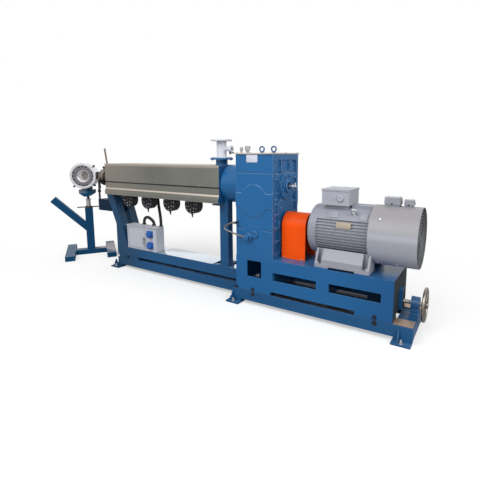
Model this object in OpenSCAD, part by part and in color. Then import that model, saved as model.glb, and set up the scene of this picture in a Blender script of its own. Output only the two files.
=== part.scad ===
// Plastic pipe extruder: floor bed, carriage with drive and covered barrel, die head on its own stand
// Millimetres. X runs along the screw towards the motor, Z is up, the operator stands at minus Y

/* [Bed] */
// Width of the bed under the drive
bed_w = 500; // [480:10:540]
// Width of the bed under the barrel
bed_narrow_w = 256; // [240:8:280]
// Length of the wide part of the bed
bed_drive_l = 1622; // [1600:2:1660]
// Length of the narrow part of the bed
bed_barrel_l = 1850; // [1820:10:1900]
// Height of the bed beams
bed_h = 90; // [80:2:110]
// Width of one bed beam
beam_w = 60; // [50:2:70]
// Height of the beams above the floor
foot_gap = 38; // [30:1:50]
// Length of a foot pad along the bed
pad_l = 140; // [120:5:160]
// How far a foot pad stands out from the beam
pad_out = 55; // [50:1:70]
// Radius of an anchor bolt hole
anchor_r = 11; // [8:1:13]
// Distance between the two rows of wide pads along the bed
pad_pitch = 1510; // [1490:5:1530]
// Thickness of the machined slide ways
way_t = 8; // [6:1:12]
// Width of a slide way
way_w = 125; // [110:5:140]

/* [Carriage] */
// Space between the bed and the carriage beams
way_gap = 40; // [36:1:48]
// Height of the carriage beams under the barrel
rail_h = 104; // [96:2:120]
// Height of the frame under the gearbox and the motor
frame_h = 292; // [280:4:310]
// Length of the frame beyond the gearbox
frame_motor_l = 1034; // [1024:2:1040]
// Thickness of the frame's side plates
plate_t = 12; // [10:1:16]
// Length of the slots in the side plates
slot_l = 415; // [380:5:420]
// Height of the slots in the side plates
slot_h = 74; // [60:2:80]

/* [Gearbox] */
// Length of the gearbox along the screw
gear_l = 388; // [380:2:400]
// Height of the gearbox above the frame
gear_h = 928; // [900:4:940]
// Radius of the bearing bulge on the split line
bulge_r = 144; // [130:2:150]
// Radius of the thrust bearing cap
cap_r = 123; // [110:1:128]
// Depth of the pockets in the end face
pocket_d = 14; // [8:1:20]
// Thickness of the gearbox lid
lid_t = 12; // [8:1:16]

/* [Motor] */
// Height of the motor shaft above its feet
shaft_h = 280; // [275:1:285]
// Radius over the cooling fins
fin_r = 212; // [206:1:216]
// Radius of the motor shell between the fins
shell_r = 188; // [180:1:196]
// Length of the finned shell
shell_l = 487; // [480:1:494]
// Thickness of one fin
fin_t = 6; // [4:1:8]
// Distance from fin to fin
fin_pitch = 24; // [22:1:26]
// Radius of the fan cowl
cowl_r = 237; // [230:1:242]
// Length of the fan cowl
cowl_l = 355; // [340:5:370]
// Radius of the coupling guard
guard_r = 118; // [112:1:122]
// Length of the coupling guard
guard_l = 230; // [200:5:235]

/* [Barrel] */
// Height of the screw axis above the floor
axis_z = 1100; // [1096:1:1104]
// Radius of the barrel
barrel_r = 75; // [65:1:85]
// Radius of the feed housing
drum_r = 185; // [178:1:188]
// Width of the barrel cover
cover_w = 400; // [392:2:420]
// Length of the barrel cover
cover_l = 1735; // [1710:5:1750]
// Height of the upper cover
cover_up_h = 215; // [210:1:222]
// Thickness of the cover sheet
sheet_t = 4; // [3:1:6]
// Radius of a cooling blower
blower_r = 90; // [84:1:96]

/* [Die head] */
// Radius of the die ring
ring_r = 172; // [164:1:176]
// Radius of the die bore
bore_r = 72; // [60:1:80]
// Depth of the die ring
ring_d = 150; // [140:5:160]
// Width of the stand's square post
post_w = 100; // [90:2:110]
// Height of the stand's post above the floor
post_top = 648; // [620:4:660]
// Width of a stand foot
foot_w = 117; // [100:1:125]
// Length of a stand foot
foot_l = 735; // [700:5:760]

/* [Hidden] */
$fn = 64;

// Levels
bed_z0 = foot_gap;
bed_z1 = bed_z0 + bed_h;
way_z1 = bed_z1 + way_t;
car_z0 = bed_z1 + way_gap;
rail_z1 = car_z0 + rail_h;
frame_z1 = car_z0 + frame_h;
gear_z1 = frame_z1 + gear_h;
lid_z1 = gear_z1 + lid_t;
foot_pad_h = 12;
motor_z = frame_z1 + foot_pad_h + shaft_h;

// Places along the machine
wide_shift = 21;
bed_x1 = wide_shift + bed_drive_l / 2;
wide_x0 = bed_x1 - bed_drive_l;
bed_x0 = wide_x0 - bed_barrel_l;
left_pad_x = bed_x0 - 4;
gear_x0 = wide_x0 + 52;
gear_x1 = gear_x0 + gear_l;
frame_x1 = gear_x1 + frame_motor_l;

// Half widths
bed_y = bed_w / 2;
nar_y = bed_narrow_w / 2;
cov_y = cover_w / 2;

pad_t = 15;
web_in = 6;
gusset_t = 10;
steel_fn = 48;

module box(x0, x1, y0, y1, z0, z1) {
    translate([x0, y0, z0]) cube([x1 - x0, y1 - y0, z1 - z0]);
}

module both_sides() {
    children();
    mirror([0, 1, 0]) children();
}

module rod_x(r, x0, x1, y = 0, z = 0) {
    translate([x0, y, z]) rotate([0, 90, 0]) cylinder(r = r, h = x1 - x0);
}

module rod_y(r, y0, y1, x = 0, z = 0) {
    translate([x, y1, z]) rotate([90, 0, 0]) cylinder(r = r, h = y1 - y0);
}

module rod_z(r, z0, z1, x = 0, y = 0) {
    translate([x, y, z0]) cylinder(r = r, h = z1 - z0);
}

// An outline in Y and Z, pulled along X
module pull_x(x0, x1) {
    translate([x0, 0, 0]) rotate([90, 0, 90]) linear_extrude(height = x1 - x0) children();
}

// An outline in X and Z, pulled along Y
module pull_y(y0, y1) {
    translate([0, y1, 0]) rotate([90, 0, 0]) linear_extrude(height = y1 - y0) children();
}

tube_sides = 12;

// Direction of a route in X and Z at one of its points
function heading(pts, i) =
    let (a = pts[max(i - 1, 0)], b = pts[min(i + 1, len(pts) - 1)])
    (b - a) / norm(b - a);

function tube_points(pts, r) = [
    for (i = [0:len(pts) - 1], k = [0:tube_sides - 1])
        let (h = heading(pts, i), a = 360 * k / tube_sides)
        [pts[i][0] - h[1] * r * cos(a), r * sin(a), pts[i][1] + h[0] * r * cos(a)]
];

function tube_faces(n) = concat(
    [[for (k = [tube_sides - 1:-1:0]) k]],
    [for (i = [0:n - 2], k = [0:tube_sides - 1])
        let (a = i * tube_sides, b = a + tube_sides, k2 = (k + 1) % tube_sides)
        [a + k, a + k2, b + k2, b + k]],
    [[for (k = [0:tube_sides - 1]) (n - 1) * tube_sides + k]]
);

module tube(pts, r) {
    polyhedron(points = tube_points(pts, r), faces = tube_faces(len(pts)));
}

// Bed: wide beams under the drive, narrow beams under the barrel, tied by cross members,
// with the block that holds the lead screw at the motor end
cross_w = 70;
wide_cross_x = [wide_x0, 0, bed_x1 - 2 * cross_w];
narrow_cross_x = [bed_x0, bed_x0 + bed_barrel_l / 2];

block_l = 60;
block_w = 130;
block_head_r = 52;
block_waist = 44;
screw_z = 235;
screw_r = 16;
fit = 0.1;
block_x0 = bed_x1 - block_l;

module screw_block() {
    difference() {
        union() {
            rod_x(block_head_r, block_x0, bed_x1, 0, screw_z);
            box(block_x0, bed_x1, -block_waist, block_waist, bed_z1 - 2, screw_z);
            box(block_x0 - 4, bed_x1, -block_w / 2, block_w / 2, bed_z1 - 2, bed_z1 + 38);
            box(block_x0 - 10, bed_x1, -block_w / 2 - 24, block_w / 2 + 24, bed_z1 - 2, bed_z1 + 16);
        }
        rod_x(screw_r + fit, block_x0 - 1, bed_x1 + 1, 0, screw_z);
    }
}

module bed_frame() {
    color("steelblue") {
        screw_block();
        both_sides() {
            box(wide_x0, bed_x1, -bed_y, -bed_y + beam_w, bed_z0, bed_z1);
            box(bed_x0, wide_x0 + cross_w, -nar_y, -nar_y + beam_w, bed_z0, bed_z1);
        }
        for (x = wide_cross_x)
            box(x, x + cross_w, -bed_y + 1, bed_y - 1, bed_z0 + 2, bed_z1 - 1);
        box(bed_x1 - cross_w, bed_x1, -bed_y + 1, bed_y - 1, bed_z0 + 2, bed_z1);
        for (x = narrow_cross_x)
            box(x, x + cross_w, -nar_y + 1, nar_y - 1, bed_z0 + 2, bed_z1 - 1);
    }
}

// One foot at the front side: pad, leg block and two gussets, with its beam's face at y = 0
gusset_x = -22;
anchor_y = pad_out - 25;

module foot_pad() {
    difference() {
        box(-pad_l / 2, pad_l / 2, -pad_out, beam_w, 0, pad_t);
        rod_z(anchor_r, -1, pad_t + 1, 0, -anchor_y);
    }
    box(-pad_l / 2 + web_in, pad_l / 2 - web_in, 0, beam_w, pad_t, bed_z0);
    pull_x(gusset_x - gusset_t / 2, gusset_x + gusset_t / 2)
        polygon([[0, pad_t], [0, bed_z1 - 20], [-8, bed_z1 - 20], [-pad_out + 6, pad_t]]);
}

module foot_pads() {
    color("steelblue") both_sides() {
        for (x = [-pad_pitch / 2, pad_pitch / 2])
            translate([x, -bed_y, 0]) foot_pad();
        translate([left_pad_x, -nar_y, 0]) intersection() {
            foot_pad();
            box(-pad_l, pad_l, -bed_w, bed_w, 0, bed_h);
        }
    }
}

// Machined strips that the carriage slides on
module slide_ways() {
    color("tan") both_sides()
        box(wide_x0 + 6, bed_x1 - 4, -bed_y + 2, -bed_y + way_w, bed_z1, way_z1);
}

// Carriage beams under the barrel, with the shoes that rest on the bed at the far end
shoe_l = 345;
shoe_in = 20;
shoe_recess = 5;
shoe_x = bed_x0 + shoe_in;
column_back = 294;
column_x = gear_x0 - column_back;

module carriage_rails() {
    color("steelblue") {
        both_sides() {
            box(bed_x0, gear_x0, -nar_y, -nar_y + beam_w, car_z0, rail_z1);
            box(shoe_x, shoe_x + shoe_l, -nar_y + shoe_recess, -nar_y + beam_w, bed_z1, car_z0);
        }
        for (x = [bed_x0, bed_x0 + bed_barrel_l / 2, column_x])
            box(x, x + cross_w, -nar_y + 1, nar_y - 1, car_z0 + 2, rail_z1 - 1);
    }
}

// Box frame of plates under the gearbox and the motor
pad_y0 = 150;
feet_out = 458;
foot_x = gear_x1 + feet_out;
feet_pitch = 330;
foot_len = 115;
window_x = gear_x0 + 121;
window_w = 153;
window_z0 = car_z0 + 105;
window_h = 154;
slot_z0 = car_z0 + 106;
slot1_x = gear_x1 + 2;
slot_pitch = 526;
slot2_x = slot1_x + slot_pitch;
shoe1_x = gear_x0 + 22;
shoe1_l = 346;
shoe2_x = frame_x1 - 290;
shoe2_l = 290;
nut_t = 28;
nut_y = 45;

module side_plate() {
    difference() {
        box(gear_x0, frame_x1, -bed_y, -bed_y + plate_t, car_z0, frame_z1);
        box(window_x, window_x + window_w, -bed_y - 1, -bed_y + plate_t + 1, window_z0, window_z0 + window_h);
        for (x = [slot1_x, slot2_x])
            box(x, x + slot_l, -bed_y - 1, -bed_y + plate_t + 1, slot_z0, slot_z0 + slot_h);
    }
}

module drive_frame() {
    in_y = bed_y - plate_t;
    color("steelblue") difference() {
        union() {
            both_sides() {
                side_plate();
                box(shoe1_x, shoe1_x + shoe1_l, -bed_y, -bed_y + way_w, way_z1, car_z0);
                box(shoe2_x, shoe2_x + shoe2_l, -bed_y, -bed_y + way_w, way_z1, car_z0);
                box(gear_x0, frame_x1, -in_y - 1, -bed_y + way_w, car_z0, car_z0 + plate_t);
                for (x = [foot_x, foot_x + feet_pitch])
                    box(x - foot_len / 2, x + foot_len / 2, -bed_y, -pad_y0, frame_z1, frame_z1 + foot_pad_h);
            }
            box(gear_x0, frame_x1, -in_y - 1, in_y + 1, frame_z1 - plate_t, frame_z1);
            for (x = [gear_x0, gear_x1 - plate_t / 2, slot2_x - 60, frame_x1 - plate_t])
                box(x, x + plate_t, -in_y - 1, in_y + 1, car_z0, frame_z1 - 1);
            box(frame_x1 - 1, frame_x1 + nut_t, -nut_y, nut_y, screw_z - 62, screw_z + 100);
        }
        rod_x(screw_r + fit, frame_x1 - 100, frame_x1 + nut_t + 1, 0, screw_z);
    }
}

// Gear case: a split casting whose flange bulges round the bearing, with ribs in its end face
skin = 6;
bulge_x = gear_x0 + 192;
bulge_z = axis_z - 123;
split_h = 65;
rib_y = [-215, -90, 75, 215];
rib_t = 14;
rib_z = [500, 610, 730, 850, 945, 1043, 1167, 1207, 1345];
boss_r = 140;
low_boss_z = axis_z - 215;

module split_flange() {
    box(gear_x0, gear_x1, -bed_y, -bed_y + skin + 1, bulge_z - split_h, bulge_z + split_h);
    intersection() {
        rod_y(bulge_r, -bed_y, -bed_y + skin + 1, bulge_x, bulge_z);
        box(gear_x0, gear_x1, -bed_y, 0, frame_z1, gear_z1);
    }
}

module gearbox_case() {
    color("steelblue") {
        difference() {
            box(gear_x0, gear_x1, -bed_y + skin, bed_y - skin, frame_z1, gear_z1);
            for (i = [0:len(rib_y) - 2], j = [0:len(rib_z) - 2])
                if (rib_z[j + 1] - rib_z[j] > 50 && rib_z[j + 1] < gear_z1)
                    box(gear_x1 - pocket_d, gear_x1 + 1, rib_y[i] + rib_t / 2, rib_y[i + 1] - rib_t / 2,
                        rib_z[j] + rib_t / 2, rib_z[j + 1] - rib_t / 2);
        }
        both_sides() split_flange();
        intersection() {
            union() {
                rod_x(boss_r, gear_x1 - pocket_d - 1, gear_x1, 0, axis_z);
                rod_x(boss_r, gear_x1 - pocket_d - 1, gear_x1, 0, low_boss_z);
                rod_x(guard_r, gear_x1 - pocket_d - 1, gear_x1, 0, motor_z);
            }
            box(gear_x0, gear_x1, -bed_y, bed_y, frame_z1, gear_z1);
        }
    }
}

module gearbox_lid() {
    color("wheat") box(gear_x0 - 6, gear_x1 + 6, -bed_y - 4, bed_y + 4, gear_z1, lid_z1);
}

// Two breather caps on the lid
cap_y = 50 - bed_y;

module breather_cap(r, h) {
    cylinder(r = r * 0.6, h = h * 0.35);
    translate([0, 0, h * 0.35]) cylinder(r = r, h = h * 0.65);
}

module breather_caps() {
    color("gray") {
        translate([gear_x0 + 34, cap_y, lid_z1]) breather_cap(14, 51);
        translate([gear_x0 + 102, cap_y, lid_z1]) breather_cap(24, 60);
    }
}

// Ring bolts: two on the gearbox lid, one on the motor
eye_r = 24;
eye_bar = 7;
eye_seat_r = 13;
eye_seat_h = 7;
motor_eye_x = 335;
motor_eye_tilt = 40;

module ring_bolt() {
    cylinder(r = eye_seat_r, h = eye_seat_h);
    translate([0, 0, eye_seat_h + eye_r + eye_bar - 3]) rotate([90, 0, 0])
        rotate_extrude() translate([eye_r, 0]) circle(r = eye_bar, $fn = 24);
}

module lifting_eyes() {
    color("steelblue") {
        for (x = [gear_x0 + 130, gear_x0 + 258])
            translate([x, 0, lid_z1]) ring_bolt();
        difference() {
            translate([motor_eye_x, 0, motor_z]) rotate([motor_eye_tilt, 0, 0])
                translate([0, 0, fin_r - 4]) ring_bolt();
            rod_x(fin_r, shell_x0, shell_x1, 0, motor_z);
        }
    }
}

// Thrust bearing cap on the gear case, with the fitting for the screw's cooling water
cap_t = 14;
hub_r = 58;
hub_t = 34;
cap_bore_r = 35;

module bearing_cap() {
    color("steelblue") difference() {
        union() {
            rod_x(cap_r, gear_x1, gear_x1 + cap_t, 0, axis_z);
            rod_x(hub_r, gear_x1, gear_x1 + hub_t, 0, axis_z);
        }
        rod_x(cap_bore_r, gear_x1 + 8, gear_x1 + hub_t + 1, 0, axis_z);
    }
}

module rotary_fitting() {
    x0 = gear_x1 + 8;
    color("silver") {
        rod_x(11, x0, x0 + 52, 0, axis_z);
        rod_x(19, x0 + 52, x0 + 72, 0, axis_z);
        rod_x(11, x0 + 72, x0 + 96, 0, axis_z);
        rod_z(9, axis_z, axis_z + 34, x0 + 84, 0);
    }
}

// Oil pump on the front of the gear case and its pipe
pump_x = gear_x0 + 145;
pump_z = frame_z1 + 188;
pump_y = -bed_y + skin;
pipe_r = 8;
pipe_y = pump_y - 46;

module oil_pump() {
    color("silver") {
        rod_y(pump_flange_r, pump_y - 24, pump_y, pump_x, pump_z);
        rod_y(side_flange_r, pump_y - 12, pump_y, pump_x + side_flange_x, pump_z + side_flange_z);
        rod_y(pump_r, pump_y - 62, pump_y - 23, pump_x, pump_z);
    }
}

pipe_x1 = gear_x0 + 18;
pipe_z1 = pump_z + 120;
union_half = 10;
pump_r = 22;
pump_flange_r = 36;
side_flange_r = 34;
side_flange_x = 60;
side_flange_z = 26;
seat_gap = 0.2;
pipe_pts = [
    [pump_x - pump_r - seat_gap, pump_z], [gear_x0 + 60, pump_z + 8], [gear_x0 - 20, pump_z + 28],
    [gear_x0 - 78, pump_z + 43], [gear_x0 - 96, pump_z + 50], [gear_x0 - 104, pump_z + 61],
    [gear_x0 - 100, pump_z + 73], [gear_x0 - 86, pump_z + 84], [gear_x0 - 46, pump_z + 106],
    [gear_x0 - 20, pump_z + 116], [pipe_x1 - union_half - seat_gap, pipe_z1]
];

module oil_pipe() {
    color("silver") {
        translate([0, pipe_y, 0]) tube(pipe_pts, pipe_r);
        box(pipe_x1 - union_half, pipe_x1 + union_half, pipe_y - union_half, pump_y,
            pipe_z1 - union_half, pipe_z1 + union_half);
    }
}

// Arched sheet over the coupling
guard_x0 = gear_x1 + 25;
guard_x1 = guard_x0 + guard_l;
guard_t = 3;

module guard_outline(r) {
    translate([0, motor_z]) circle(r = r);
    translate([-r, frame_z1]) square([2 * r, motor_z - frame_z1]);
}

module coupling_guard() {
    color("orangered") difference() {
        pull_x(guard_x0, guard_x1) guard_outline(guard_r);
        pull_x(guard_x0 - 1, guard_x1 + 1) difference() {
            guard_outline(guard_r - guard_t);
            translate([-bed_y, 0]) square([bed_w, frame_z1]);
        }
    }
}

// Motor: end shield, finned shell, feet, terminal box and fan cowl
shield_x0 = guard_x1 + 5;
shield_l = 70;
shell_x0 = shield_x0 + shield_l;
shell_x1 = shell_x0 + shell_l;

module motor_shield() {
    color("gainsboro") translate([shield_x0, 0, motor_z]) rotate([0, 90, 0]) rotate_extrude() polygon([
        [0, 0], [92, 0], [104, 12], [112, 26], [165, 34], [fin_r - 12, 52], [fin_r - 4, 58],
        [fin_r - 4, shield_l], [0, shield_l]
    ]);
}

fin_count = 7;
band_l = 54;
shoulder_z = 114;
crown_x0 = shell_x0 + 312;
crown_up = 14;

module motor_body() {
    color("gainsboro") {
        rod_x(shell_r, shell_x0, shell_x1, 0, motor_z);
        intersection() {
            rod_x(fin_r, shell_x0, shell_x1, 0, motor_z);
            union() {
                for (i = [-fin_count:fin_count])
                    box(shell_x0 + 8, shell_x1, -fin_r, fin_r, motor_z + i * fin_pitch - fin_t / 2,
                        motor_z + i * fin_pitch + fin_t / 2);
                box(shell_x0, shell_x0 + band_l, -fin_r, fin_r, motor_z - fin_r, motor_z + fin_r);
                box(shell_x0, shell_x1, -fin_r, fin_r, motor_z + shoulder_z, motor_z + fin_r);
            }
        }
        box(crown_x0, shell_x1, -70, 70, motor_z + 100, motor_z + fin_r + crown_up);
    }
}

foot_t = 30;
feet_y = bed_y - 4;
foot_top_z = motor_z - 130;
foot_root_z = motor_z - 160;
foot_in_y = 90;
foot_wall = 16;
web_up = 66;

module motor_foot_outline() {
    polygon([
        [-feet_y, frame_z1 + foot_pad_h], [-feet_y, frame_z1 + foot_pad_h + foot_t],
        [-fin_r + 20, foot_top_z], [-foot_in_y, foot_root_z], [-foot_in_y, frame_z1 + foot_pad_h]
    ]);
}

module motor_feet() {
    color("gainsboro") difference() {
        both_sides() {
            for (x = [foot_x, foot_x + feet_pitch])
                difference() {
                    pull_x(x - foot_len / 2, x + foot_len / 2) motor_foot_outline();
                    box(x - foot_len / 2 + foot_wall, x + foot_len / 2 - foot_wall, -bed_w, -feet_y + 70,
                        frame_z1 + foot_pad_h + foot_t, motor_z);
                }
            pull_x(foot_x, foot_x + feet_pitch) polygon([
                [-feet_y + 2, frame_z1 + foot_pad_h + 10], [-feet_y + 2, frame_z1 + foot_pad_h + web_up],
                [-fin_r + 20, foot_top_z], [-150, foot_root_z], [-150, frame_z1 + foot_pad_h + 10]
            ]);
        }
        rod_x(fin_r, shell_x0 - 1, shell_x1 + 1, 0, motor_z);
        rod_x(cowl_r + 1, cowl_x0 - 1, cowl_x1, 0, motor_z);
    }
}

term_x0 = shell_x0 + 75;
term_l = 230;
term_w = 256;
term_z0 = motor_z + 222;
term_h = 132;

module terminal_box() {
    color("gainsboro") {
        difference() {
            box(term_x0 + 18, term_x0 + term_l - 18, -88, 88, motor_z + 150, term_z0);
            rod_x(fin_r, shell_x0, shell_x1, 0, motor_z);
        }
        box(term_x0, term_x0 + term_l, -term_w / 2, term_w / 2, term_z0, term_z0 + term_h - 16);
        box(term_x0 - 4, term_x0 + term_l + 4, -term_w / 2 - 4, term_w / 2 + 4, term_z0 + term_h - 16,
            term_z0 + term_h);
    }
}

// Fan cowl: rolled sheet with a ring grille over the air inlet
cowl_x0 = shell_x1;
cowl_x1 = cowl_x0 + cowl_l;
cowl_t = 4;
grille_pitch = 24;
grille_bar = 5;
grille_x = cowl_x1 - 16;
bar_half = 4;

module fan_cowl() {
    color("silver") {
        difference() {
            rod_x(cowl_r, cowl_x0, cowl_x1, 0, motor_z);
            rod_x(cowl_r - cowl_t, cowl_x0 + cowl_t, cowl_x1 + 1, 0, motor_z);
        }
        for (r = [40:grille_pitch:cowl_r - cowl_t - 4])
            difference() {
                rod_x(r, grille_x, grille_x + grille_bar, 0, motor_z);
                rod_x(r - grille_bar, grille_x - 1, grille_x + grille_bar + 1, 0, motor_z);
            }
        for (a = [0, 90])
            translate([grille_x + 1, 0, motor_z]) rotate([a, 0, 0])
                translate([0, -cowl_r + 2, -bar_half]) cube([grille_bar - 2, 2 * cowl_r - 4, 2 * bar_half]);
    }
}

module cowl_box(x, l, w, h) {
    difference() {
        box(x, x + l, -w / 2, w / 2, motor_z + cowl_r - 14, motor_z + cowl_r + 12);
        rod_x(cowl_r, cowl_x0, cowl_x1, 0, motor_z);
    }
    box(x - 6, x + l + 6, -w / 2 - 6, w / 2 + 6, motor_z + cowl_r + 12, motor_z + cowl_r + h - 14);
    box(x - 2, x + l + 2, -w / 2 - 2, w / 2 + 2, motor_z + cowl_r + h - 14, motor_z + cowl_r + h);
}

module cowl_boxes() {
    color("gainsboro") {
        cowl_box(cowl_x0 + 80, 105, 90, 66);
        cowl_box(cowl_x0 + 222, 60, 56, 52);
    }
}

// Feed housing between the gear case and the barrel, and what stands on it
drum_l = 462;
drum_cap_l = 226;
drum_x0 = gear_x0 - drum_l;
drum_step_x = gear_x0 - drum_cap_l;
drum_in_r = 168;
throat_back = 348;
throat_x = gear_x0 - throat_back;
throat_r = 60;
throat_flange_r = 116;
throat_z1 = axis_z + 251;
flange_t = 16;

module feed_housing() {
    color("steelblue") difference() {
        union() {
            rod_x(drum_in_r, drum_x0, gear_x0, 0, axis_z);
            rod_x(drum_r, drum_step_x, gear_x0, 0, axis_z);
            rod_x(drum_r + 6, gear_x0 - 40, gear_x0, 0, axis_z);
        }
        rod_z(throat_r - 20, axis_z, axis_z + drum_in_r + 1, throat_x, 0);
    }
}

module feed_throat() {
    color("steelblue") difference() {
        union() {
            rod_z(throat_r, axis_z + drum_in_r - 20, throat_z1 - flange_t, throat_x, 0);
            rod_z(throat_flange_r, throat_z1 - flange_t, throat_z1, throat_x, 0);
        }
        rod_z(throat_r - 20, axis_z, throat_z1 + 1, throat_x, 0);
        rod_x(drum_in_r, drum_x0, gear_x0, 0, axis_z);
    }
}

tube_r = 50;
tube_wall = 5;
tube_h = 183;
tube_flange_r = 106;

module feed_tube() {
    color("white") difference() {
        union() {
            rod_z(tube_r, throat_z1, throat_z1 + tube_h, throat_x, 0);
            rod_z(tube_flange_r - 16, throat_z1, throat_z1 + 12, throat_x, 0);
            rod_z(tube_flange_r, throat_z1 + tube_h - 14, throat_z1 + tube_h, throat_x, 0);
            rod_x(22, throat_x, throat_x + 120, 0, throat_z1 + 90);
            rod_x(30, throat_x + 100, throat_x + 130, 0, throat_z1 + 90);
        }
        rod_z(tube_r - tube_wall, throat_z1 - 1, throat_z1 + tube_h + 1, throat_x, 0);
        rod_x(14, throat_x, throat_x + 131, 0, throat_z1 + 90);
    }
}

// Columns and legs between the carriage and the barrel
column_w = 102;
column_d = 75;
column_in = 14;
column_y = column_in - nar_y;
lug_l = 98;
lug_drop = 35;
lug_t = 12;

module rear_columns() {
    color("steelblue") difference() {
        union() {
            box(column_x, column_x + column_w, column_y, column_y + column_d, rail_z1 + 12, axis_z);
            box(column_x - 14, column_x + column_w + 14, -nar_y, column_y + column_d, rail_z1, rail_z1 + 12);
            box(column_x - lug_l, column_x + 1, column_y, column_y + 45, tray_z0 - lug_drop,
                tray_z0 - lug_drop + lug_t);
        }
        rod_x(drum_r, drum_x0, gear_x0, 0, axis_z);
        box(cover_x0, cover_x1 + 1, -cov_y, cov_y, tray_z0 - seat_gap, axis_z + 1);
    }
}

cover_back = 232;
cover_x1 = gear_x0 - cover_back;
cover_x0 = cover_x1 - cover_l;
tray_z0 = axis_z - 185;
leg_d = 98;
leg_foot = 196;
leg_knee = 270;
leg_top = 131;
leg_out = 100;
leg_top_x = cover_x0 - leg_out;

module front_legs() {
    color("steelblue") both_sides() pull_y(-nar_y, -nar_y + leg_d) polygon([
        [bed_x0, rail_z1], [bed_x0, rail_z1 + leg_knee], [leg_top_x, tray_z0],
        [leg_top_x + leg_top, tray_z0], [bed_x0 + leg_foot, rail_z1]
    ]);
}

bracket_drop = 245;
bracket_z0 = tray_z0 - bracket_drop;
bracket_h = 146;
bracket_l = 255;
bracket_x0 = leg_top_x - bracket_l;
bracket_y = 70;

module front_bracket() {
    color("steelblue") difference() {
        union() {
            box(bracket_x0, leg_top_x + leg_top - 6, -nar_y + leg_d, nar_y - leg_d, bracket_z0,
                bracket_z0 + bracket_h);
            box(bracket_x0, leg_top_x - 10, -bracket_y, bracket_y, bracket_z0 + 4, bracket_z0 + bracket_h);
        }
        front_legs();
    }
}

// Screw jack under the end of the barrel and the upright rod beside it
barrel_out = 231;
end_x0 = cover_x0 - barrel_out;
end_flange_r = 108;
end_flange_t = 40;
jack_x = end_x0 + end_flange_t / 2;
rod_place = [bracket_x0 - 12, -40];
rod_top = axis_z - 52;

module barrel_jack() {
    z0 = bracket_z0 + bracket_h;
    z1 = axis_z - end_flange_r;
    color("silver") {
        rod_z(26, z0, z0 + 34, jack_x, 0);
        rod_z(14, z0 + 34, z1 - 30, jack_x, 0);
        difference() {
            box(jack_x - 18, jack_x + 18, -30, 30, z1 - 30, z1 + 14);
            rod_x(end_flange_r, end_x0, end_x0 + end_flange_t, 0, axis_z);
        }
        rod_z(12, bracket_z0 + 10, rod_top, rod_place[0], rod_place[1]);
        rod_z(20, z0 + 90, z0 + 118, rod_place[0], rod_place[1]);
    }
}

module barrel() {
    color("dimgray") {
        rod_x(barrel_r, end_x0, drum_x0, 0, axis_z);
        rod_x(end_flange_r, end_x0, end_x0 + end_flange_t, 0, axis_z);
    }
}

// Barrel cover: a folded upper hood and a folded tray with a lip
hood_z0 = axis_z - 34;
hood_z1 = hood_z0 + cover_up_h;
lip_z = axis_z - 105;
lip_drop = 40;
lip_out = 16;
seam = 4;
notch_w = 134;

module cover_upper() {
    color("silver") difference() {
        box(cover_x0, cover_x1, -cov_y, cov_y, hood_z0, hood_z1);
        box(cover_x0 + sheet_t, cover_x1 - sheet_t, -cov_y + sheet_t, cov_y - sheet_t, hood_z0 - 1,
            hood_z1 - sheet_t);
        rod_x(drum_in_r + 5, cover_x1 - sheet_t - 1, cover_x1 + 1, 0, axis_z);
        rod_x(barrel_r + 5, cover_x0 - 1, cover_x0 + sheet_t + 1, 0, axis_z);
        box(throat_x - notch_w / 2, cover_x1 + 1, -notch_w / 2, notch_w / 2, axis_z, hood_z1 + 1);
    }
}

module tray_outline(t) {
    polygon([
        [-cov_y - lip_out + t, tray_z0 + t], [-cov_y - lip_out + t, lip_z - lip_drop], [-cov_y + t, lip_z],
        [-cov_y + t, hood_z0 - seam + t], [cov_y - t, hood_z0 - seam + t], [cov_y - t, lip_z],
        [cov_y + lip_out - t, lip_z - lip_drop], [cov_y + lip_out - t, tray_z0 + t]
    ]);
}

module cover_lower() {
    color("silver") difference() {
        pull_x(cover_x0, cover_x1) tray_outline(0);
        pull_x(cover_x0 + sheet_t, cover_x1 - sheet_t) tray_outline(sheet_t);
        rod_x(drum_in_r + 5, cover_x1 - sheet_t - 1, cover_x1 + 1, 0, axis_z);
        rod_x(barrel_r + 5, cover_x0 - 1, cover_x0 + sheet_t + 1, 0, axis_z);
    }
}

// Four cooling blowers hang under the tray
blower_out = [328, 655, 1007, 1327];
blower_x = [for (out = blower_out) cover_x0 + out];
blower_z = tray_z0 - 50;
blower_y0 = -150;
blower_w = 80;
spout_x = -14;
spout_l = 62;

module blower() {
    intersection() {
        rod_y(blower_r, blower_y0, blower_y0 + blower_w, 0, blower_z);
        box(-blower_r, blower_r, -cov_y, cov_y, blower_z - blower_r, tray_z0);
    }
    translate([spout_x, blower_y0 + 30, blower_z - blower_r - spout_l + 20])
        cylinder(r1 = 5, r2 = 15, h = spout_l);
}

module cooling_blowers() {
    color("dimgray") for (x = blower_x)
        translate([x, 0, 0]) blower();
}

// Electric box on the carriage beam, with a hinged door and two sockets
ebox_in = 200;
ebox_x0 = bed_x0 + ebox_in;
ebox_l = 497;
ebox_h = 278;
ebox_d = 118;
door_x0 = ebox_x0 + 18;
door_l = 312;
door_h = 246;
door_t = 4;
door_z0 = rail_z1 + 16;
hinge_r = 3;

hinge_x = door_x0 - 4;
hinge_y = -nar_y - 5;
knuckle_h = 24;
hinge_at = [door_z0 + 24, door_z0 + door_h - 24 - 2 * knuckle_h];

module electric_box() {
    color("gainsboro") {
        for (z = hinge_at) {
            rod_z(hinge_r, z, z + knuckle_h, hinge_x, hinge_y);
            box(hinge_x - hinge_r, hinge_x, hinge_y, -nar_y, z, z + knuckle_h);
        }
        box(ebox_x0, ebox_x0 + ebox_l, -nar_y, -nar_y + ebox_d, rail_z1, rail_z1 + ebox_h);
        box(ebox_x0 - 6, ebox_x0 + ebox_l + 6, -nar_y - 10, -nar_y + ebox_d, rail_z1 + ebox_h,
            rail_z1 + ebox_h + 6);
    }
}

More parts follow.
